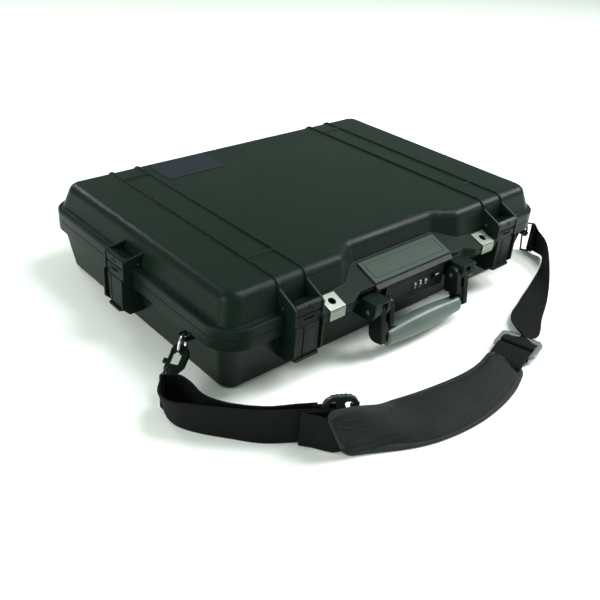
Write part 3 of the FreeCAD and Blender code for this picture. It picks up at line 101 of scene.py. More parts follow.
def finish(name, metallic=0.0, specular=0.5):
    """A new material and its shader, with the plain numbers set on the shader."""
    made = bpy.data.materials.new(name)
    made.use_nodes = True
    shader = made.node_tree.nodes["Principled BSDF"]
    shader.inputs["Metallic"].default_value = metallic
    shader.inputs["Specular IOR Level"].default_value = specular
    return made, made.node_tree, shader


print("helpers ready")

# %% [markdown]
# The camera stands where the photographer stood. Its place and turn were solved from the corners of the
# case's rim and underside. The focal length and the optical centre are in pixels of a square picture, and the
# small shift puts the centre where it is in the photo.

# %% Camera
picture = 600
focal_length = 757.721
optical_centre = (274.805, 279.679)
camera_place = (-0.61556, -0.6335, 0.48526)
camera_right = Vector((0.76221, -0.64473, 0.05791))
camera_up = Vector((0.28755, 0.41737, 0.86204))
camera_data = bpy.data.cameras.new("camera")
camera_data.sensor_width = 36.0
camera_data.lens = camera_data.sensor_width * focal_length / picture
camera_data.shift_x = (picture / 2 - optical_centre[0]) / picture
camera_data.shift_y = -(picture / 2 - optical_centre[1]) / picture
camera_data.clip_start = 0.01
camera = placed("camera", camera_data)
turned = Matrix((camera_right, camera_up, camera_right.cross(camera_up))).transposed().to_4x4()
camera.matrix_world = Matrix.Translation(camera_place) @ turned
scene.camera = camera
print("camera at", [round(v, 3) for v in camera.location])

# %% [markdown]
# A product photograph of a black object lives from large soft lights, because black plastic shows little but
# their reflections. Five area lamps do that: the key light draws the shadow, the top light shines back from
# the sloping front ledge, and the others draw the edges. A faint pale world fills the shadows, while the
# camera itself sees plain white behind the floor.

# %% World and lamps
fill_color = (0.82, 1.0, 0.87, 1)
fill_strength = 0.46
scene.view_settings.view_transform = "Standard"
world = bpy.data.worlds.new("studio")
scene.world = world
world.use_nodes = True
tree = world.node_tree
tree.nodes.clear()
rays = tree.nodes.new("ShaderNodeLightPath").outputs
seen = math_node(tree, "MAXIMUM", rays["Is Camera Ray"], rays["Is Transmission Ray"])
light = add_node(tree, "ShaderNodeBackground", {"Color": fill_color, "Strength": fill_strength})
white = add_node(tree, "ShaderNodeBackground", {"Color": (1, 1, 1, 1), "Strength": 1.0})
mix = add_node(tree, "ShaderNodeMixShader", enumerate((seen, light.outputs[0], white.outputs[0])))
add_node(tree, "ShaderNodeOutputWorld", {"Surface": mix.outputs[0]})
# Each lamp is a square light with its place, its target, its size and its power.
lamps = {
    "key_light": ((1.85, -0.85, 1.6), (0, 0, 0.05), 0.8, 50),
    "top_light": ((0.80, -0.42, 2.0), (0.05, -0.15, 0.08), 0.8, 27),
    "left_light": ((-1.9, 0.0, 0.9), (0, 0, 0.05), 0.9, 24),
    "back_light": ((-0.30, 1.7, 1.15), (-0.15, 0, 0.1), 0.5, 9),
    "front_light": ((0.5, -1.9, 1.2), (0, 0, 0.0), 0.8, 3),
}
for name, (place, target, size, power) in lamps.items():
    data = bpy.data.lights.new(name, "AREA")
    data.size = size
    data.energy = power
    lamp = placed(name, data)
    lamp.location = place
    lamp.rotation_euler = (Vector(target) - Vector(place)).to_track_quat("-Z", "Y").to_euler()
print("world and", len(lamps), "lamps")

# %% Floor
floor_half = 6.0
corners = [(x * floor_half, y * floor_half, 0) for x, y in ((-1, -1), (1, -1), (1, 1), (-1, 1))]
floor_mesh = bpy.data.meshes.new("floor")
floor_mesh.from_pydata(corners, [], [(0, 1, 2, 3)])
floor = placed("floor", floor_mesh)
floor_finish, tree, shader = finish("floor_finish")
shader.inputs["Base Color"].default_value = (0.95, 0.97, 0.94, 1)
shader.inputs["Roughness"].default_value = 0.7
floor_mesh.materials.append(floor_finish)
print("floor laid")

# %% [markdown]
# Moulded plastic has a fine pebbled skin that scatters its highlights, and slow drifts of gloss from
# handling. One shader group makes both, so that every plastic part can take them at its own scale.

# %% Shader helpers
noise_low, noise_high = 0.3, 0.7
drift_scale = 9.0


def node_group(name, numbers, draw):
    """A shader group with named number inputs. The function draw makes its outputs."""
    group = bpy.data.node_groups.new(name, "ShaderNodeTree")
    for label, number in numbers.items():
        socket = group.interface.new_socket(label, in_out="INPUT", socket_type="NodeSocketFloat")
        socket.default_value = number
    results = draw(group, group.nodes.new("NodeGroupInput").outputs)
    for label in results:
        group.interface.new_socket(label, in_out="OUTPUT", socket_type="NodeSocketFloat")
    add_node(group, "NodeGroupOutput", results)
    return group


def object_place(tree):
    """The place in the object's own space."""
    return tree.nodes.new("ShaderNodeTexCoord").outputs["Object"]


def noise_node(tree, vector, scale, detail):
    """A noise pattern with its size and detail."""
    inputs = {"Vector": vector, "Scale": scale, "Detail": detail}
    return add_node(tree, "ShaderNodeTexNoise", inputs).outputs["Fac"]


def moulded_skin(group, ins):
    """Pebbled height, a drift mask and pale scuffs for moulded plastic."""
    place = object_place(group)
    stretch = {"Vector": place, "Scale": (38.0, 160.0, 60.0), "Rotation": (0.0, 0.0, 0.5)}
    stretched = add_node(group, "ShaderNodeMapping", stretch).outputs[0]
    streaks = noise_node(group, stretched, scale=1.0, detail=4.0)
    scuff = math_node(group, "MULTIPLY", math_node(group, "SUBTRACT", streaks, 0.66), 7.0)
    return {"Height": noise_node(group, place, ins["Grain Scale"], detail=2.0),
            "Drift": noise_node(group, place, ins["Drift Scale"], detail=3.0),
            "Scuff": add_node(group, "ShaderNodeClamp", {"Value": scuff}).outputs[0]}


skin_group = node_group("moulded_skin", {"Grain Scale": 900.0, "Drift Scale": drift_scale}, moulded_skin)


def blended_color(tree, mask, first, second):
    """A colour that goes from one to another with a mask."""
    node = tree.nodes.new("ShaderNodeMix")
    node.data_type = "RGBA"
    tree.links.new(mask, node.inputs["Factor"])
    node.inputs["A"].default_value = (*first, 1)
    node.inputs["B"].default_value = (*second, 1)
    return node.outputs["Result"]


def ranged(tree, value, low, high):
    """The middle of a noise spread over a new range."""
    inputs = {"Value": value, "From Min": noise_low, "From Max": noise_high, "To Min": low, "To Max": high}
    return add_node(tree, "ShaderNodeMapRange", inputs).outputs["Result"]


def coat(tree, shader, mask, colors, drift, rough, height, relief, depth):
    """The shader's colour from a mask, its roughness from a drift and its bump from a height."""
    bump = add_node(tree, "ShaderNodeBump", {"Strength": relief, "Distance": depth, "Height": height})
    for label, source in (("Base Color", blended_color(tree, mask, *colors)),
                          ("Roughness", ranged(tree, drift, *rough)), ("Normal", bump.outputs["Normal"])):
        tree.links.new(source, shader.inputs[label])


def group_outputs(tree, group, numbers):
    """What a shader group gives for its own numbers."""
    node = tree.nodes.new("ShaderNodeGroup")
    node.node_tree = group
    for label, number in numbers.items():
        node.inputs[label].default_value = number
    return node.outputs


def moulded_plastic(name, color, scuffed, rough, grain_scale, grain, specular):
    """A satin moulded plastic with grain, drifts of gloss and faint scuffs."""
    made, tree, shader = finish(name, specular=specular)
    skin = group_outputs(tree, skin_group, {"Grain Scale": grain_scale, "Drift Scale": drift_scale})
    colors = color, scuffed
    coat(tree, shader, skin["Scuff"], colors, skin["Drift"], rough, skin["Height"], grain, depth=0.0004)
    return made


# Each finish has its colour, scuffed colour, roughness range, grains to the metre, grain depth and specular.
plastics = {
    "case_plastic": ((0.0045, 0.0105, 0.0075), (0.014, 0.022, 0.018), (0.32, 0.42), 900.0, 0.16, 0.105),
    "latch_plastic": ((0.0040, 0.0075, 0.0060), (0.014, 0.019, 0.017), (0.28, 0.40), 1100.0, 0.14, 0.10),
    "eye_enamel": ((0.010, 0.011, 0.011), (0.05, 0.055, 0.05), (0.24, 0.34), 700.0, 0.08, 0.5),
    "plate_plastic": ((0.026, 0.046, 0.037), (0.048, 0.072, 0.060), (0.40, 0.50), 1500.0, 0.12, 0.22),
    "label_film": ((0.004, 0.007, 0.016), (0.009, 0.013, 0.024), (0.40, 0.50), 2400.0, 0.05, 0.25),
    "frame_plastic": ((0.13, 0.142, 0.136), (0.17, 0.182, 0.176), (0.16, 0.26), 1500.0, 0.06, 0.5),
    "slider_plastic": ((0.020, 0.025, 0.023), (0.04, 0.046, 0.043), (0.18, 0.28), 1500.0, 0.06, 0.5),
    "dial_plastic": ((0.010, 0.012, 0.012), (0.02, 0.022, 0.022), (0.3, 0.4), 1500.0, 0.1, 0.5),
    "digit_paint": ((0.62, 0.66, 0.62), (0.5, 0.53, 0.5), (0.4, 0.5), 1500.0, 0.05, 0.5),
    "membrane_film": ((0.55, 0.56, 0.55), (0.5, 0.5, 0.5), (0.6, 0.7), 1500.0, 0.1, 0.5),
}
finishes = {name: moulded_plastic(name, *look) for name, look in plastics.items()}
print("plastics:", ", ".join(finishes))

# %% [markdown]
# The other finishes follow the same way. Stainless steel is brushed along one direction, rubber is dull with
# a leathery grain, and foam is an open sponge that takes light deep into its pores, which are painted darker
# as shade.

# %% Metal, rubber, foam and small finishes


def brushed_metal(name, color, rough, stretch):
    """Metal with fine brushed lines."""
    made, tree, shader = finish(name, metallic=1.0)
    place = object_place(tree)
    stretched = add_node(tree, "ShaderNodeMapping", {"Vector": place, "Scale": stretch}).outputs[0]
    lines = noise_node(tree, stretched, scale=1.0, detail=3.0)
    drift = noise_node(tree, place, scale=60.0, detail=3.0)
    darker = tuple(c * 0.8 for c in color)
    coat(tree, shader, drift, (darker, color), lines, rough, lines, relief=0.12, depth=0.0002)
    return made


def grained_rubber(name, color, worn, rough, scale, relief):
    """Rubber with a leathery grain of small cells."""
    made, tree, shader = finish(name, specular=0.4)
    place = object_place(tree)
    cells = add_node(tree, "ShaderNodeTexVoronoi", {"Vector": place, "Scale": scale}).outputs["Distance"]
    drift = noise_node(tree, place, scale=30.0, detail=4.0)
    wear = ranged(tree, drift, 0.0, 1.0)
    coat(tree, shader, wear, (color, worn), drift, rough, cells, relief, depth=0.0004)
    return made


def open_foam(name, color):
    """Foam with pores of two sizes, whose pits are painted darker as shade."""
    made, tree, shader = finish(name, specular=0.15)
    place = object_place(tree)
    coarse = noise_node(tree, place, scale=420.0, detail=4.0)
    drift = noise_node(tree, place, scale=14.0, detail=3.0)
    # The pits of the coarse pores are painted darker as shade, and a slow drift varies the tone at random.
    shades = math_node(tree, "MULTIPLY", ranged(tree, coarse, 0.2, 1.0), ranged(tree, drift, 0.75, 1.1))
    dark = tuple(c * 0.45 for c in color)
    coat(tree, shader, shades, (dark, color), drift, (0.9, 1.0), coarse, relief=0.6, depth=0.0012)
    return made


# Steel has its colour, roughness range and brushed stretch, and rubber its colour, worn colour, roughness
# range, cells to the metre and relief.
for name, *look in (
        ("bright_steel", (0.26, 0.285, 0.25), (0.28, 0.40), (40.0, 900.0, 900.0)),
        ("pin_steel", (0.55, 0.56, 0.55), (0.30, 0.42), (40.0, 900.0, 900.0)),
        ("wire_steel", (0.78, 0.80, 0.78), (0.18, 0.30), (300.0, 300.0, 300.0))):
    finishes[name] = brushed_metal(name, *look)
for name, *look in (
        ("grip_rubber", (0.066, 0.094, 0.086), (0.092, 0.126, 0.115), (0.27, 0.35), 1400.0, 0.18),
        ("seal_rubber", (0.020, 0.022, 0.022), (0.03, 0.033, 0.032), (0.6, 0.75), 900.0, 0.1)):
    finishes[name] = grained_rubber(name, *look)
finishes["charcoal_foam"] = open_foam("charcoal_foam", (0.050, 0.052, 0.054))
print("finishes ready:", len(finishes))

# %% [markdown]
# A moulding tool can't hold a perfectly sharp edge, so every edge of a real case is a small round that
# catches a thin line of light. The CAD faces come in as loose triangles. Here they are merged, the flat ones
# are joined again, and a narrow bevel rounds what is left sharp. Where a bevel throws a point off the
# surface, it is put back on it.

# %% Softened copies of the rigid CAD pieces
weld_distance = 0.00002
flat_angle = math.radians(0.08)


def new_piece(name, mesh, body, look=None):
    """A piece at the origin that rides on a body, with a finish unless its mesh has one already."""
    piece = placed(name, mesh)
    if look:
        mesh.materials.clear()
        mesh.materials.append(finishes[look])
    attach(piece, body)
    return piece


def softened(name, radius, look, segments=2, sharp_angle=32.0):
    """A copy of a CAD node with narrow rounds on its sharp edges, in place of the node."""
    form = bmesh.new()
    form.from_mesh(nodes[name].data)
    bmesh.ops.remove_doubles(form, verts=form.verts, dist=weld_distance)
    bmesh.ops.dissolve_limit(form, angle_limit=flat_angle, verts=form.verts, edges=form.edges)
    surface = BVHTree.FromBMesh(form)
    mesh = bpy.data.meshes.new(name + "_draft")
    form.to_mesh(mesh)
    form.free()
    mesh.shade_smooth()
    draft = placed(name + "_draft", mesh)
    bevel = draft.modifiers.new("soft_edges", "BEVEL")
    bevel.width = radius
    bevel.segments = segments
    bevel.limit_method = "ANGLE"
    bevel.angle_limit = math.radians(sharp_angle)
    bevel.use_clamp_overlap = False
    bevel.miter_outer = "MITER_ARC"
    shading = draft.modifiers.new("flat_faces_first", "WEIGHTED_NORMAL")
    shading.mode = "FACE_AREA_WITH_ANGLE"
    shading.weight = 80
    final = baked(draft)
    final.name = name + "_piece"
    for point in final.vertices:
        nearest, _, _, away = surface.find_nearest(point.co)
        if away > radius:
            point.co = nearest
    bpy.data.meshes.remove(mesh)
    piece = new_piece(name + "_piece", final, body_of[name], look)
    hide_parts(name)
    return piece


latch_spots = ("front_left", "front_right", "left", "right")
latch_parts = ["latch_%s_%s" % (spot, part) for spot in latch_spots for part in ("link", "lever")]
# Each row has the radius of the rounds, the finish and the pieces that take them.
edge_rounds = [
    (0.0006, "case_plastic", ["base_shell", "lid_shell"]),
    (0.0007, "latch_plastic", ["handle_frame"]),
    (0.0003, "latch_plastic", ["lock_housing"]),
    (0.0004, "latch_plastic", ["lock_button"]),
    (0.0005, "latch_plastic", ["strap_lugs"]),
    (0.00025, "plate_plastic", ["name_plate"]),
    (0.00025, "label_film", ["label_plate"]),
    (0.0003, "bright_steel", ["lid_padlock_guards", "base_padlock_guards"]),
    (0.0003, "latch_plastic", ["hook_gate_left", "hook_gate_right"]),
    (0.0003, "dial_plastic", ["lock_dial_1", "lock_dial_2", "lock_dial_3"]),
    (0.0004, "latch_plastic", ["valve_body"] + latch_parts),
]
for radius, look, names in edge_rounds:
    for name in names:
        softened(name, radius, look)
print("softened", sum(len(names) for radius, look, names in edge_rounds), "pieces")

# %% Finishes of the CAD pieces that stay as they are
kept = {
    "pin_steel": ["hinge_pins", "latch_pins", "handle_pivot_pins",
                  "lock_spindle", "lock_bolt", "lock_keeper"],
    "latch_plastic": ["valve_nut", "snap_hook_left", "snap_hook_right"],
    "wire_steel": ["strap_ring_left", "strap_ring_right"],
    "eye_enamel": ["swivel_eye_left", "swivel_eye_right"],
    "membrane_film": ["valve_membrane"],
}
kept["pin_steel"] += ["latch_%s_lever_pin" % spot for spot in latch_spots]
for look, names in kept.items():
    for name in names:
        for slot in nodes[name].material_slots:
            slot.material = finishes[look]
print("gave", sum(len(names) for names in kept.values()), "CAD nodes their finishes")

# %% [markdown]
# The grip is soft rubber moulded over the handle's bar. It is fuller in the middle, where the fingers close,
# and necks down to the arms. It is made as a skin of rounded sections. Each station has its place along the
# grip, its height and its thickness, and the size eases from one station to the next.

# %% Grip
grip_tilt = math.radians(9.0)
grip_squareness = 0.78
grip_parts = 6
grip_around = 40
grip_pivot = Vector((0.0, -0.1985, 0.0575))
grip_middle = Vector((0.0, -0.2015, 0.0203))
grip_stations = [(-0.062, 0.0172, 0.0150), (-0.0613, 0.0186, 0.0160), (-0.058, 0.0194, 0.0166),
                 (-0.050, 0.0204, 0.0172), (-0.034, 0.0234, 0.0188), (-0.018, 0.0258, 0.0200),
                 (0.0, 0.0266, 0.0204)]
grip_stations += [(-x, h, t) for x, h, t in reversed(grip_stations[:-1])]


def eased(points, parts):
    """A smooth run of points through given ones, with equal parts between them."""
    run = []
    for i in range(len(points) - 1):
        before, start, end = points[max(i - 1, 0)], points[i], points[i + 1]
        after = points[min(i + 2, len(points) - 1)]
        for k in range(parts):
            t = k / parts
            curve = start * 2 + (end - before) * t + (before * 2 - start * 5 + end * 4 - after) * t ** 2
            curve += (start * 3 - before - end * 3 + after) * t ** 3
            run.append(curve / 2)
    return run + [points[-1]]


def skin(name, rings, closed_ends=True, uvs=None, weld=0.0):
    """A mesh through rings of points, with its ends closed or points that meet welded."""
    count = len(rings[0])
    points = [p for ring in rings for p in ring]
    faces = []
    for i in range(len(rings) - 1):
        for j in range(count):
            k = (j + 1) % count
            faces.append((i * count + j, i * count + k, (i + 1) * count + k, (i + 1) * count + j))
    if closed_ends:
        faces.append(tuple(range(count))[::-1])
        faces.append(tuple((len(rings) - 1) * count + j for j in range(count)))
    mesh = bpy.data.meshes.new(name)
    mesh.from_pydata(points, [], faces)
    if uvs:
        layer = mesh.uv_layers.new(name="weave")
        for face in mesh.polygons:
            for loop in face.loop_indices:
                index = mesh.loops[loop].vertex_index
                layer.data[loop].uv = uvs[index // count][index % count]
    form = bmesh.new()
    form.from_mesh(mesh)
    bmesh.ops.recalc_face_normals(form, faces=form.faces)
    if weld:
        bmesh.ops.remove_doubles(form, verts=form.verts, dist=weld)
    form.to_mesh(mesh)
    form.free()
    mesh.shade_smooth()
    return mesh


def squared_off(value, power):
    """A cosine or sine whose circle a power below one makes squarer."""
    return math.copysign(abs(value) ** power, value)


def grip_ring(x, height, depth):
    """One rounded section of the grip, tilted with the handle."""
    ring = []
    tilt = Matrix.Rotation(grip_tilt, 4, Vector((-1, 0, 0)))
    for j in range(grip_around):
        turn = 2 * math.pi * j / grip_around
        y = depth / 2 * squared_off(math.cos(turn), grip_squareness)
        z = height / 2 * squared_off(math.sin(turn), grip_squareness)
        point = Vector((x, grip_middle.y + y, grip_middle.z + z))
        ring.append(grip_pivot + tilt @ (point - grip_pivot))
    return ring


grip_run = eased([Vector(station) for station in grip_stations], grip_parts)
grip_mesh = skin("grip_rubber", [grip_ring(*station) for station in grip_run])
grip = new_piece("grip_rubber", grip_mesh, "handle", "grip_rubber")
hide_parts("handle_grip")
print("grip faces:", len(grip_mesh.polygons))

# %% [markdown]
# Foam is cut from soft slabs, so its edges slump a little. The seal is a soft cord pressed in the groove of
# the lid.

# %% Foam and seal
for name, radius in (("base_foam_liner", 0.0035), ("lid_foam", 0.003)):
    foam = softened(name, radius, "charcoal_foam", segments=4, sharp_angle=40.0)
softened("lid_seal", 0.0009, "seal_rubber", segments=3)
print("foam and seal done")

# %% [markdown]
# Webbing is a flat band woven on a narrow loom. Its two edges are turned into rounded selvedges, and the weft
# crosses it in fine ribs. One shader group draws those ribs from the band's own length and width, so they
# follow every bend. The pad's cover is a heavier cloth with ridges on both diagonals.

# %% Cloth finishes
rib_pitch = 0.0016
yarn_pitch = 0.0011
ridge_pitch = 0.0027


def weave_place(group):
    """The length and width along a cloth in metres, from its UV map."""
    place = group.nodes.new("ShaderNodeUVMap")
    place.uv_map = "weave"
    split = group.nodes.new("ShaderNodeSeparateXYZ")
    group.links.new(place.outputs[0], split.inputs[0])
    return split.outputs


def ridged(group, length, pitch):
    """Round ridges at a pitch along a length."""
    count = math_node(group, "MULTIPLY", math_node(group, "DIVIDE", length, pitch), math.pi)
    return math_node(group, "ABSOLUTE", math_node(group, "SINE", count))


def woven_band(group, ins):
    """Ribs and crossing yarns of a band, as a height and a painted shade that darkens the gaps between ribs.
    """
    place = weave_place(group)
    rib = ridged(group, place["X"], ins["Rib Pitch"])
    yarn = ridged(group, place["Y"], ins["Yarn Pitch"])
    half_yarn = math_node(group, "ADD", math_node(group, "MULTIPLY", yarn, 0.5), 0.5)
    return {"Height": math_node(group, "MULTIPLY", rib, half_yarn), "Shade": rib}


def twill(group, ins):
    """Two sets of diagonal ridges that cross in a heavy cloth, as a height, which also paints the gaps darker
    as shade.
    """
    place = weave_place(group)
    ridges = [ridged(group, math_node(group, operation, place["X"], place["Y"]), ins["Ridge Pitch"])
              for operation in ("ADD", "SUBTRACT")]
    return {"Height": math_node(group, "POWER", math_node(group, "MULTIPLY", *ridges), 0.7)}


band_pitches = {"Rib Pitch": rib_pitch, "Yarn Pitch": yarn_pitch}
twill_pitches = {"Ridge Pitch": ridge_pitch}
band_group = node_group("woven_band", band_pitches, woven_band)
twill_group = node_group("twill", twill_pitches, twill)


def cloth(name, weave_group, pitches, shade, dark, pale, rough, specular, drift, relief, depth):
    """A cloth whose ridges are painted paler than its gaps, as painted light and shade, from a weave group
    with its pitches.
    """
    made, tree, shader = finish(name, specular=specular)
    weave = group_outputs(tree, weave_group, pitches)
    drifts = noise_node(tree, object_place(tree), drift, detail=3.0)
    coat(tree, shader, weave[shade], (dark, pale), drifts, rough, weave["Height"], relief, depth)
    return made


# Each cloth has its name, its gap colour painted darker as shade, its ridge colour and its roughness range.
for name, *look in (
        ("black_webbing", (0.0006, 0.0010, 0.0008), (0.0032, 0.0044, 0.0040), (0.66, 0.80)),
        ("binding_tape", (0.006, 0.0075, 0.0075), (0.026, 0.031, 0.030), (0.5, 0.66)),
        ("sewing_thread", (0.020, 0.024, 0.023), (0.060, 0.068, 0.066), (0.4, 0.5))):
    finishes[name] = cloth(name, band_group, band_pitches, "Shade", *look,
                           specular=0.12, drift=40.0, relief=0.55, depth=0.0005)
# The pad cover's colour follows its ridges' height, so its gaps are painted darker as shade.
finishes["pad_cover"] = cloth(
    "pad_cover", twill_group, twill_pitches, "Height", (0.0012, 0.0020, 0.0018), (0.011, 0.016, 0.0145),
    (0.54, 0.70), specular=0.16, drift=30.0, relief=0.6, depth=0.0006)
print("cloth finishes ready")

# %% [markdown]
# Each length of webbing turns round the eye of its hook and lies along the floor, on its edge at the left and
# flatter at the right. A station is a pair of points on the band's two edges. Its first number is the share
# of the way from the left eye to the right one, and the others are the two points' steps from there in widths
# of the webbing, so the strap follows the eyes of the frame. The fold tables give steps along and out from a
# slider in widths.

# %% Route of the strap
width = 0.038
thickness = 0.002
eye_wire = 0.0013
eye_play = 0.0004
loop_starts = {-1: 200.0, 1: -20.0}
loop_steps = 8
loop_step = 30
loop_reach = eye_wire + eye_play + thickness / 2
slider_height = 0.009
slider_clearance = 0.0045
upright_height = slider_clearance + width / 2
left_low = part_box("swivel_eye_left")[0]
right_low, right_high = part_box("swivel_eye_right")
eyes = {-1: Vector((left_low[0] + eye_wire, left_low[1] + eye_wire, 0)),
        1: Vector((right_high[0] - eye_wire, right_low[1] + eye_wire, 0))}
eye_middle = 2 * eye_wire + eye_play + width / 2
headings = {-1: math.radians(-31.0), 1: math.radians(14.0)}
slider_shares = {-1: (2.7492, -3.5075), 1: (9.8128, -3.9471)}
left_outer_shares = [
    (0, -0.0466, -0.1060, 0.03, -0.1570, -0.0962, 1.03),
    (0, -0.1156, -0.4224, 0.01, -0.3983, -0.3981, 0.99),
    (0, -0.0742, -0.8021, 0.01, -0.3638, -0.8167, 0.98),
    (0, 0.1809, -1.2744, 0.01, -0.0535, -1.2013, 0.99),
    (0, 0.6566, -1.8683, 0.01, 0.5463, -1.8294, 1.00),
    (0, 1.2565, -2.5402, 0.01, 1.2496, -2.4720, 1.01),
]
left_inner_shares = [
    (0, 0.3670, -0.1790, 0.03, 0.3808, -0.1790, 1.03),
    (0, 0.4360, -0.5928, 0.01, 0.4567, -0.5685, 1.01),
    (0, 0.4498, -1.0553, 0.01, 0.4222, -1.0310, 1.01),
    (0, 0.5739, -1.4448, 0.01, 0.5325, -1.4107, 1.01),
    (0, 0.8910, -1.8975, 0.01, 0.8221, -1.8586, 1.01),
    (0, 1.3875, -2.4525, 0.01, 1.3875, -2.3941, 1.01),
    (0, 1.9873, -2.8079, 0.05, 1.9942, -2.7836, 1.05),
    (0, 2.3831, -3.0966, 0.11, 2.3831, -3.0966, 1.11),
]
right_tail_shares = [(1, -0.1031, -0.1919, 0.08, -0.2617, -0.1919, 1.06)]
right_shares = [
    (0, 10.7988, -3.0270, 0.24, 10.5713, -4.0737, 0.24),
    (0.15, 9.6744, -2.4265, 0.20, 9.3848, -3.4780, 0.20),
    (0.50, 5.4512, -1.8383, 0.14, 5.1410, -2.7292, 0.22),
    (0.85, 1.4349, -1.1478, 0.10, 0.8006, -1.8537, 0.44),
    (1, -0.0618, -0.6300, 0.06, -0.5237, -0.9221, 0.84),
    (1, 0.0141, -0.2406, 0.08, -0.1790, -0.2649, 1.06),
]
pad_shares = [
    (0, 2.4975, -4.0396, 0.05, 2.0769, -3.6988, 1.32),
    (0, 3.0767, -4.3269, 0.05, 2.7871, -3.9082, 1.32),
    (0, 3.6007, -4.6190, 0.05, 3.7041, -3.8790, 0.87),
    (0, 4.2350, -4.9062, 0.05, 4.5728, -3.5138, 0.32),
    (0, 4.9934, -5.1350, 0.05, 5.5726, -3.6453, 0.21),
    (0, 6.0759, -5.2762, 0.05, 6.4413, -3.7767, 0.21),
    (0, 7.1308, -5.2373, 0.05, 7.0756, -3.8546, 0.21),
    (0, 8.2064, -5.0377, 0.06, 7.9444, -3.9082, 0.26),
    (0, 9.0199, -4.6969, 0.11, 8.7304, -3.7232, 0.32),
]
fold_shares = [(-0.68, -0.0895), (-0.30, -0.0895), (0.066, -0.0895), (0.092, -0.082), (0.103, -0.055),
               (0.103, 0.055), (0.092, 0.082), (0.066, 0.0895)]
left_fold_end = [(-0.30, 0.0895), (-0.50, 0.0895)]
right_fold_end = [(-0.08, 0.0895)]
left_end_shares = [
    (0.08, 0.50), (-0.22, 0.53), (-0.40, 0.46), (-0.56, 0.37), (-0.74, 0.286), (-0.895, 0.237),
    (-0.968, 0.226), (-0.989, 0.197), (-0.968, 0.168), (-0.895, 0.161), (-0.74, 0.158),
    (-0.47, 0.161), (0.0, 0.161), (0.19, 0.155), (0.255, 0.125), (0.279, 0.085), (0.279, -0.065),
    (0.297, -0.086), (0.34, -0.0895), (0.50, -0.0895),
]
right_end_shares = [
    (-1.22, 0.0), (-0.95, 0.03), (-0.72, 0.07), (-0.52, 0.0895), (-0.34, 0.0895), (-0.297, 0.086),
    (-0.279, 0.065), (-0.279, -0.065), (-0.297, -0.086), (-0.34, -0.0895), (-0.58, -0.0895),
]


def floor_stations(shares):
    """Pairs of edge points of a band from a table of shares."""
    stations = []
    for toward, a, b, c, d, e, f in shares:
        base = eyes[-1].lerp(eyes[1], toward)
        stations.append((base + Vector((a, b, c)) * width, base + Vector((d, e, f)) * width))
    return stations


def slider_frame(side):
    """A slider's middle, the way along the strap through it, the way across and the way out."""
    turn = headings[side]
    along = Vector((math.cos(turn), math.sin(turn), 0))
    across = Vector((-math.sin(turn), math.cos(turn), 0)) if side > 0 else Vector((0, 0, 1))
    middle = eyes[-1] + Vector((*slider_shares[side], 0)) * width
    middle.z = slider_height if side > 0 else upright_height
    return middle, along, across, along.cross(across)


def at_slider(side, shares, reach):
    """Pairs of edge points from shares of the width along and out from a slider."""
    middle, along, across, out = slider_frame(side)
    stations = []
    for a, b in shares:
        point = middle + along * (reach * a * width) + out * (b * width)
        stations.append((point - across * (width / 2), point + across * (width / 2)))
    return stations


def eye_loop(side):
    """Pairs of edge points round an eye's bar."""
    half = Vector((0, 0, width / 2))
    stations = []
    for i in range(loop_steps):
        turn = math.radians(loop_starts[side] + side * loop_step * i)
        spot = eyes[side] + Vector((math.cos(turn), math.sin(turn), 0)) * loop_reach
        spot.z = eye_middle
        stations.append((spot - half, spot + half))
    return stations


def eased_stations(stations, parts):
    """A smooth run of pairs of edge points."""
    lows, highs = (eased(list(side), parts) for side in zip(*stations))
    return list(zip(lows, highs))


def ways_along(stations):
    """The way along a band at each of its pairs of edge points."""
    last = len(stations) - 1
    near = [(stations[max(i - 1, 0)], stations[min(i + 1, last)]) for i in range(last + 1)]
    return [after[0] + after[1] - before[0] - before[1] for before, after in near]


def lengths_along(points):
    """The length of a run of points up to each of them."""
    lengths = [0.0]
    for before, after in zip(points, points[1:]):
        lengths.append(lengths[-1] + (after - before).length)
    return lengths


print("eyes at", [tuple(round(v, 4) for v in eyes[side]) for side in (-1, 1)])

# %% Webbing
floor_play = 0.0003
strap_parts = 6
band_section = [(0.0, 0.40), (0.012, 0.78), (0.035, 1.0), (0.08, 0.94), (0.12, 0.86), (0.5, 0.84)]
band_section += [(1 - w, t) for w, t in reversed(band_section[:-1])]


def band_mesh(name, stations):
    """A closed band with rounded selvedges through pairs of edge points, and its flat length."""
    rings, uvs = [], []
    lengths = lengths_along([(low + high) / 2 for low, high in stations])
    for (low, high), along, run in zip(stations, ways_along(stations), lengths):
        out = along.cross(high - low).normalized() * (thickness / 2)
        ring = [low.lerp(high, w) + out * t for w, t in band_section]
        ring += [low.lerp(high, w) - out * t for w, t in reversed(band_section)]
        for point in ring:
            point.z = max(point.z, floor_play)
        rings.append(ring)
        spread = [(run, w * (high - low).length) for w, t in band_section]
        uvs.append(spread + spread[::-1])
    return skin(name, rings, uvs=uvs), lengths[-1]


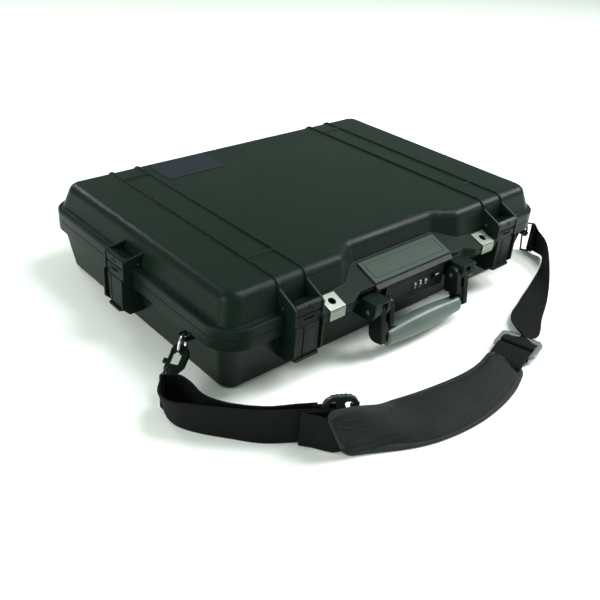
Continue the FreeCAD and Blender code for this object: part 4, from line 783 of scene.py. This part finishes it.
left_fold = at_slider(-1, fold_shares + left_fold_end, 1)
left_loop = eye_loop(-1)
left_out = left_fold[-1:] + floor_stations(left_outer_shares)[::-1] + left_loop[:1]
left_back = left_loop[-1:] + floor_stations(left_inner_shares)
left_route = left_fold[:-1] + eased_stations(left_out, strap_parts) + left_loop[1:-1]
left_route += eased_stations(left_back, strap_parts)
right_fold = at_slider(1, fold_shares + right_fold_end, -1)
right_loop = eye_loop(1)
right_out = right_fold[-1:] + floor_stations(right_shares) + right_loop[:1]
right_route = right_fold[:-1] + eased_stations(right_out, strap_parts) + right_loop[1:]
right_route += floor_stations(right_tail_shares)
for name, route, held in (
        ("webbing_left", left_route, "laid"), ("webbing_right", right_route, "laid"),
        ("end_loop_left", at_slider(-1, left_end_shares, 1), "folded"),
        ("end_loop_right", at_slider(1, right_end_shares, 1), "folded")):
    mesh, run = band_mesh(name, route)
    piece = new_piece(name, mesh, "base", "black_webbing")
    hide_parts("strap_" + name)
    print(name, "is", round(run, 3), "m long")

# %% [markdown]
# A slider lets the wearer change the strap's length. It is a moulded frame with a middle bar that the webbing
# turns round. The left one stands on its edge and has an arched thumb rest with ridges, the right one is a
# plain frame. The outline is a flat curve with two openings, given a thickness with rounded edges.

# %% Sliders
slider_half = 0.017
slider_tall = 0.0235
slider_arch = 0.0065
slider_bar = 0.0025
slider_slot = 0.0095
slider_thickness = 0.004
slider_round = 0.0006
slider_foot = 0.003
shoulder_drop = 0.009
slot_margin = 0.004
slot_rise = 0.0048
slot_corner = 0.0025
frame_corner = 0.0055
arch_squareness = 0.7
arch_points = 60
ridge_count = 5
ridge_rise = 0.0009
ridge_share = 0.62


def arc(centre, radius, start, step, count):
    """Points on an arc, with its angles in degrees."""
    turns = [math.radians(start + step * k) for k in range(count)]
    return [(centre[0] + radius * math.cos(turn), centre[1] + radius * math.sin(turn)) for turn in turns]


def slider_outline():
    """The outside of a slider, with the ridged arch at the top."""
    low, side = -slider_tall + slider_foot, slider_half - slider_foot
    points = arc((-side, low), slider_foot, 180, 15, 7) + arc((side, low), slider_foot, 270, 15, 7)
    shoulder = slider_tall - shoulder_drop
    for k in range(arch_points + 1):
        turn = math.pi * k / arch_points
        across = squared_off(math.cos(turn), arch_squareness)
        y = shoulder + (slider_tall + slider_arch - shoulder) * abs(math.sin(turn)) ** arch_squareness
        if abs(across) < ridge_share:
            ridge = ridge_count * (across + ridge_share) / (2 * ridge_share)
            y += ridge_rise * abs(math.sin(math.pi * ridge))
        points.append((slider_half * across, y))
    return points


def rounded_box(x0, x1, y0, y1, corner):
    """The outline of a rectangle with rounded corners."""
    low_x, high_x, low_y, high_y = x0 + corner, x1 - corner, y0 + corner, y1 - corner
    centres = ((high_x, high_y), (low_x, high_y), (low_x, low_y), (high_x, low_y))
    return [point for i, centre in enumerate(centres) for point in arc(centre, corner, 90 * i, 22.5, 5)]


def slider_mesh(arched):
    """A slider lying flat, with its arch towards +Y if it has one."""
    flat = bpy.data.curves.new("slider_flat", "CURVE")
    flat.dimensions = "2D"
    flat.fill_mode = "BOTH"
    flat.extrude = slider_thickness / 2 - slider_round
    flat.bevel_depth = slider_round
    flat.bevel_resolution = 2
    low, high = -slider_tall + slot_margin, slider_tall - slot_margin + (slot_rise if arched else 0.0)
    near, far = slider_bar + slider_round, slider_bar + slider_slot - slider_round
    plain = rounded_box(-slider_half, slider_half, -slider_tall, slider_tall, frame_corner)
    outlines = [slider_outline() if arched else plain]
    outlines += [rounded_box(x0, x1, low, high, slot_corner) for x0, x1 in ((near, far), (-far, -near))]
    for outline in outlines:
        spline = flat.splines.new("POLY")
        spline.points.add(len(outline) - 1)
        for point, (x, y) in zip(spline.points, outline):
            point.co = (x, y, 0, 1)
        spline.use_cyclic_u = True
    return baked(placed("slider_flat", flat))


for side, word, look in ((-1, "left", "slider_plastic"), (1, "right", "frame_plastic")):
    middle, along, across, out = slider_frame(side)
    mesh = slider_mesh(arched=side < 0)
    mesh.transform(Matrix.Translation(middle) @ Matrix((along, across, out)).transposed().to_4x4())
    mesh.shade_smooth()
    piece = new_piece("slider_%s_piece" % word, mesh, "base", look)
    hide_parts("slider_" + word)
print("sliders made")

# %% [markdown]
# The shoulder pad is two covers sewn round a soft filling, wider than the webbing and curved like the
# shoulder. Its form is a skin of crowned sections along the strap. A short cloth simulation with a little
# pressure inside then swells it, as a filling does, and no point may move further than about two millimetres.

# %% Shoulder pad
pad_crown = 0.0052
pad_below = 0.0026
pad_edge = 0.0014
pad_swell = 0.0022
pad_floor = 0.0006
pad_section = [(0.0, 0.0), (0.03, 0.36), (0.07, 0.58), (0.12, 0.74), (0.20, 0.88), (0.34, 0.97), (0.5, 1.0)]
pad_section += [(1 - a, b) for a, b in reversed(pad_section[:-1])]
pad_end_reach = 0.007
pad_end_narrowing = 0.09
pad_end_fullness = 0.45
pad_end_stations = 5
pad_parts = 7
pad_relaxing = 14
cloth_frames = 20


def relaxed(stations, passes):
    """Pairs of edge points with the kinks between them smoothed out."""
    for _ in range(passes):
        middle = [tuple((a + b * 2 + c) / 4 for a, b, c in zip(*stations[i - 1:i + 2]))
                  for i in range(1, len(stations) - 1)]
        stations = stations[:1] + middle + stations[-1:]
    return stations


def rounded_ends(stations):
    """The same stations, drawn in towards the middle near both ends."""
    drawn_in = []
    for outer, inner in stations:
        middle = (outer + inner) / 2
        reach = min((middle - (stations[i][0] + stations[i][1]) / 2).length for i in (0, -1))
        share = pad_end_narrowing * (1 - min(reach / pad_end_reach, 1.0)) ** 2
        drawn_in.append((outer.lerp(middle, share * 2), inner.lerp(middle, share * 2)))
    return drawn_in


pad_stations = rounded_ends(relaxed(eased_stations(floor_stations(pad_shares), pad_parts), pad_relaxing))


def pad_frames():
    """Each pad station as its outer point, its inner point, the way out of its top and the way along."""
    return [(outer, inner, along.cross(inner - outer).normalized(), along.normalized())
            for (outer, inner), along in zip(pad_stations, ways_along(pad_stations))]


def pad_rings():
    """Crowned sections of the pad, lower at its two ends where the covers are sewn flat."""
    rings, uvs = [], []
    last = len(pad_stations) - 1
    lengths = lengths_along([(outer + inner) / 2 for outer, inner in pad_stations])
    for i, (outer, inner, out, along) in enumerate(pad_frames()):
        ease = min(min(i, last - i) / pad_end_stations, 1.0)
        full = pad_end_fullness + (1 - pad_end_fullness) * ease ** 0.5
        upper = [outer.lerp(inner, a) + out * (pad_edge / 2 + pad_crown * b * full) for a, b in pad_section]
        lower = [outer.lerp(inner, a) - out * (pad_edge / 2 + pad_below * b * full) for a, b in pad_section]
        rings.append(upper + lower[::-1])
        spread = [(lengths[i], a * (inner - outer).length) for a, b in pad_section]
        uvs.append(spread + spread[::-1])
    return rings, uvs


def swollen(mesh):
    """The mesh after a short cloth simulation with pressure inside, with its movement capped."""
    start = [vertex.co.copy() for vertex in mesh.vertices]
    draft = placed("pad_draft", mesh)
    filling = draft.modifiers.new("filling", "CLOTH")
    filling.settings.use_pressure = True
    filling.settings.uniform_pressure_force = 4.0
    filling.settings.effector_weights.gravity = 0.0
    filling.settings.tension_stiffness = 40
    filling.settings.bending_stiffness = 1.5
    filling.point_cache.frame_end = cloth_frames
    for frame_number in range(1, cloth_frames + 1):
        scene.frame_set(frame_number)
    final = baked(draft)
    scene.frame_set(1)
    for vertex, home in zip(final.vertices, start):
        moved = vertex.co - home
        if moved.length > pad_swell:
            moved *= pad_swell / moved.length
        place = home + moved
        place.z = max(place.z, pad_floor)
        vertex.co = place
    return final


pad_sections, pad_weave = pad_rings()
pad_mesh = skin("shoulder_pad_cover", pad_sections, uvs=pad_weave)
pad_mesh = swollen(pad_mesh)
draft = placed("pad_smooth", pad_mesh)
rounds = draft.modifiers.new("rounds", "SUBSURF")
rounds.levels = 1
rounds.render_levels = 1
pad_mesh = baked(draft)
pad = new_piece("shoulder_pad_cover", pad_mesh, "base", "pad_cover")
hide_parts("shoulder_pad")
print("pad faces:", len(pad_mesh.polygons))

# %% [markdown]
# A tape folded round the pad's rim hides the cut edges of its covers. It is a flat oval band that follows the
# rim, a little wider than the rim is thick.

# %% Binding
tape_reach = 0.0040
tape_height = 0.0023
tape_inset = 0.62
tape_around = 14
tape_weld = 0.00001
end_shares = (0.12, 0.3, 0.5, 0.7, 0.88)


def rim_path():
    """Places round the pad's rim, each with its way in and its way up."""
    frames = pad_frames()
    path = []
    for run, heading in ((frames, -1), ([(b, a, out, along) for a, b, out, along in frames[::-1]], 1)):
        path += [(edge, (far - edge).normalized(), out) for edge, far, out, along in run]
        edge, far, out, along = run[-1]
        path += [(edge.lerp(far, t), along * heading, out) for t in end_shares]
    return path


def binding():
    """The tape round the pad's rim as one closed band."""
    path = rim_path()
    path.append(path[0])
    lengths = lengths_along([point for point, inward, out in path])
    turns = [2 * math.pi * j / tape_around for j in range(tape_around)]
    spread = [tape_reach * 2 * abs(2 * j / tape_around - 1) for j in range(tape_around)]
    rings = []
    for point, inward, out in path:
        ring = [point + inward * (tape_reach * (tape_inset - math.cos(turn)))
                + out * (tape_height * math.sin(turn)) for turn in turns]
        for place in ring:
            place.z = max(place.z, floor_play)
        rings.append(ring)
    uvs = [[(run, w) for w in spread] for run in lengths]
    return skin("pad_binding", rings, closed_ends=False, uvs=uvs, weld=tape_weld), lengths[-1]


tape_mesh, tape_run = binding()
tape = new_piece("pad_binding", tape_mesh, "base", "binding_tape")
print("binding is", round(tape_run, 3), "m long")

# %% [markdown]
# Lock stitches hold the covers together in a row inside the binding, and a sewn triangle anchors the webbing
# at each end of the pad. A Geometry Nodes group sets one small thread bead at every stitch of a drawn line.

# %% Stitches
seam_margin = 0.0095
seam_inset = 1.6
triangle_length = 7.0
triangle_low, triangle_high = 0.26, 0.74
triangle_parts = [k / 10 for k in range(10)]
stitch_lift = 0.00015
probe_height = 0.03
stitch_sizes = {"Pitch": 0.0034, "Length": 0.0026, "Radius": 0.00050}
pad_faces = [tuple(face.vertices) for face in pad_mesh.polygons]
pad_surface = BVHTree.FromPolygons([vertex.co for vertex in pad_mesh.vertices], pad_faces)


def on_pad(station, share):
    """The place on the pad's top at a part of its length and a share of its width."""
    frames = pad_frames()
    low = min(int(station), len(frames) - 2)
    outer, inner, out = (a.lerp(b, station - low) for a, b in zip(frames[low][:3], frames[low + 1]))
    out.normalize()
    above = outer.lerp(inner, share) + out * probe_height
    spot = pad_surface.ray_cast(above, -out)[0]
    return (spot if spot else above - out * probe_height) + out * stitch_lift


def seam_lines():
    """The stitched lines on the pad's top: two long rows and two triangles."""
    last = len(pad_stations) - 1
    margins = [seam_margin / (inner - outer).length for outer, inner in pad_stations]
    count = 2 * last
    steps = [seam_inset + (last - 2 * seam_inset) * k / count for k in range(count + 1)]
    lines = [[on_pad(t, margins[int(t)]) for t in steps], [on_pad(t, 1 - margins[int(t)]) for t in steps]]
    for tip, way in ((seam_inset, 1), (last - seam_inset, -1)):
        point = (tip + way * triangle_length, 0.5)
        ends = [(tip, triangle_low), (tip, triangle_high), point, (tip, triangle_low)]
        line = []
        for (t0, a0), (t1, a1) in zip(ends, ends[1:]):
            line += [on_pad(t0 + (t1 - t0) * part, a0 + (a1 - a0) * part) for part in triangle_parts]
        lines.append(line + [on_pad(*ends[-1])])
    return lines


def stitch_rows():
    """A group that lays beads of thread along a drawn line."""
    group = bpy.data.node_groups.new("stitch_rows", "GeometryNodeTree")
    kinds = {"Geometry": "Geometry", "Thread": "Material", **dict.fromkeys(stitch_sizes, "Float")}
    for label, kind in kinds.items():
        group.interface.new_socket(label, in_out="INPUT", socket_type="NodeSocket" + kind)
    group.interface.new_socket("Geometry", in_out="OUTPUT", socket_type="NodeSocketGeometry")
    ins = group.nodes.new("NodeGroupInput").outputs
    curve = add_node(group, "GeometryNodeMeshToCurve", {"Mesh": ins["Geometry"]}).outputs["Curve"]
    spaced = group.nodes.new("GeometryNodeResampleCurve")
    spaced.mode = "LENGTH"
    group.links.new(curve, spaced.inputs["Curve"])
    group.links.new(ins["Pitch"], spaced.inputs["Length"])
    tangent = group.nodes.new("GeometryNodeInputTangent").outputs["Tangent"]
    turn = add_node(group, "FunctionNodeAlignRotationToVector", {"Vector": tangent})
    turn.axis = "X"
    thick = math_node(group, "MULTIPLY", ins["Radius"], 2.0)
    size = add_node(group, "ShaderNodeCombineXYZ", {"X": ins["Length"], "Y": thick, "Z": thick}).outputs[0]
    bead = add_node(group, "GeometryNodeMeshIcoSphere", {"Subdivisions": 2, "Radius": 0.5}).outputs["Mesh"]
    rows = add_node(group, "GeometryNodeInstanceOnPoints", {
        "Points": spaced.outputs["Curve"], "Instance": bead, "Rotation": turn.outputs["Rotation"],
        "Scale": size}).outputs["Instances"]
    real = add_node(group, "GeometryNodeRealizeInstances", {"Geometry": rows}).outputs["Geometry"]
    dyed = add_node(group, "GeometryNodeSetMaterial", {"Geometry": real, "Material": ins["Thread"]})
    add_node(group, "NodeGroupOutput", {"Geometry": dyed.outputs["Geometry"]})
    return group


def stitched(name, lines, body):
    """Stitches along drawn lines as one plain mesh."""
    points, edges = [], []
    for line in lines:
        edges += [(len(points) + k, len(points) + k + 1) for k in range(len(line) - 1)]
        points += line
    mesh = bpy.data.meshes.new(name + "_line")
    mesh.from_pydata(points, edges, [])
    draft = placed(name + "_line", mesh)
    rows = draft.modifiers.new("rows", "NODES")
    rows.node_group = stitch_group
    settings = {"Thread": finishes["sewing_thread"], **stitch_sizes}
    for item in stitch_group.interface.items_tree:
        if item.in_out == "INPUT" and item.name in settings:
            rows[item.identifier] = settings[item.name]
    final = baked(draft)
    final.shade_smooth()
    return new_piece(name, final, body)


stitch_group = stitch_rows()
seams = stitched("pad_stitches", seam_lines(), "base")
print("stitch faces:", len(seams.data.polygons))

# %% [markdown]
# Each wheel of the lock carries the ten digits in a light colour. They are small raised figures that stand
# round the wheel and turn with it.

# %% Dial digits
dial_radius = 0.0075
digit_size = 0.00405
digit_relief = 0.00010
digit_play = 0.00004
digits = 10
digit_offset = 18


def box_of(name):
    """The two corners of a CAD node's box."""
    return tuple(Vector(corner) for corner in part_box(name))


def form_piece(name, form, body, look):
    """A piece from a bmesh form."""
    mesh = bpy.data.meshes.new(name)
    form.to_mesh(mesh)
    form.free()
    new_piece(name, mesh, body, look)


upright = Matrix.Rotation(math.radians(90), 4, "X")
for number in (1, 2, 3):
    low, high = box_of("lock_dial_%d" % number)
    form = bmesh.new()
    for digit in range(digits):
        label = bpy.data.curves.new("digit", "FONT")
        label.body = str(digit)
        label.size = digit_size
        label.extrude = digit_relief
        label.align_x = "CENTER"
        label.align_y = "CENTER"
        label.resolution_u = 2
        mesh = baked(placed("digit", label))
        turn = Matrix.Rotation(math.radians(360 / digits * digit + digit_offset * number), 4, "X")
        outward = Matrix.Translation((0, -dial_radius - digit_play, 0))
        mesh.transform(Matrix.Translation((low + high) / 2) @ turn @ outward @ upright)
        form.from_mesh(mesh)
        bpy.data.meshes.remove(mesh)
    form_piece("dial_digits_%d" % number, form, "lock_dial_%d" % number, "digit_paint")
print("digits on 3 dials")

# %% [markdown]
# The lock's release slide has a light line on its face, a painted highlight where the slide's edge catches
# the light.

# %% Painted highlight on the release slide
# A thin pale box in the digits' paint on the slide's face is the painted highlight.
highlight_size = (0.0060, 0.0002, 0.0010)
low, high = box_of("lock_button")
spot = Matrix.Translation(((low.x + high.x) / 2, low.y, (low.z + high.z) / 2))
form = bmesh.new()
bmesh.ops.create_cube(form, size=1.0, matrix=spot @ Matrix.Diagonal((*highlight_size, 1.0)))
form_piece("release_highlight", form, body_of["lock_button"], "digit_paint")
print("release mark at", [round(v, 4) for v in spot.translation])
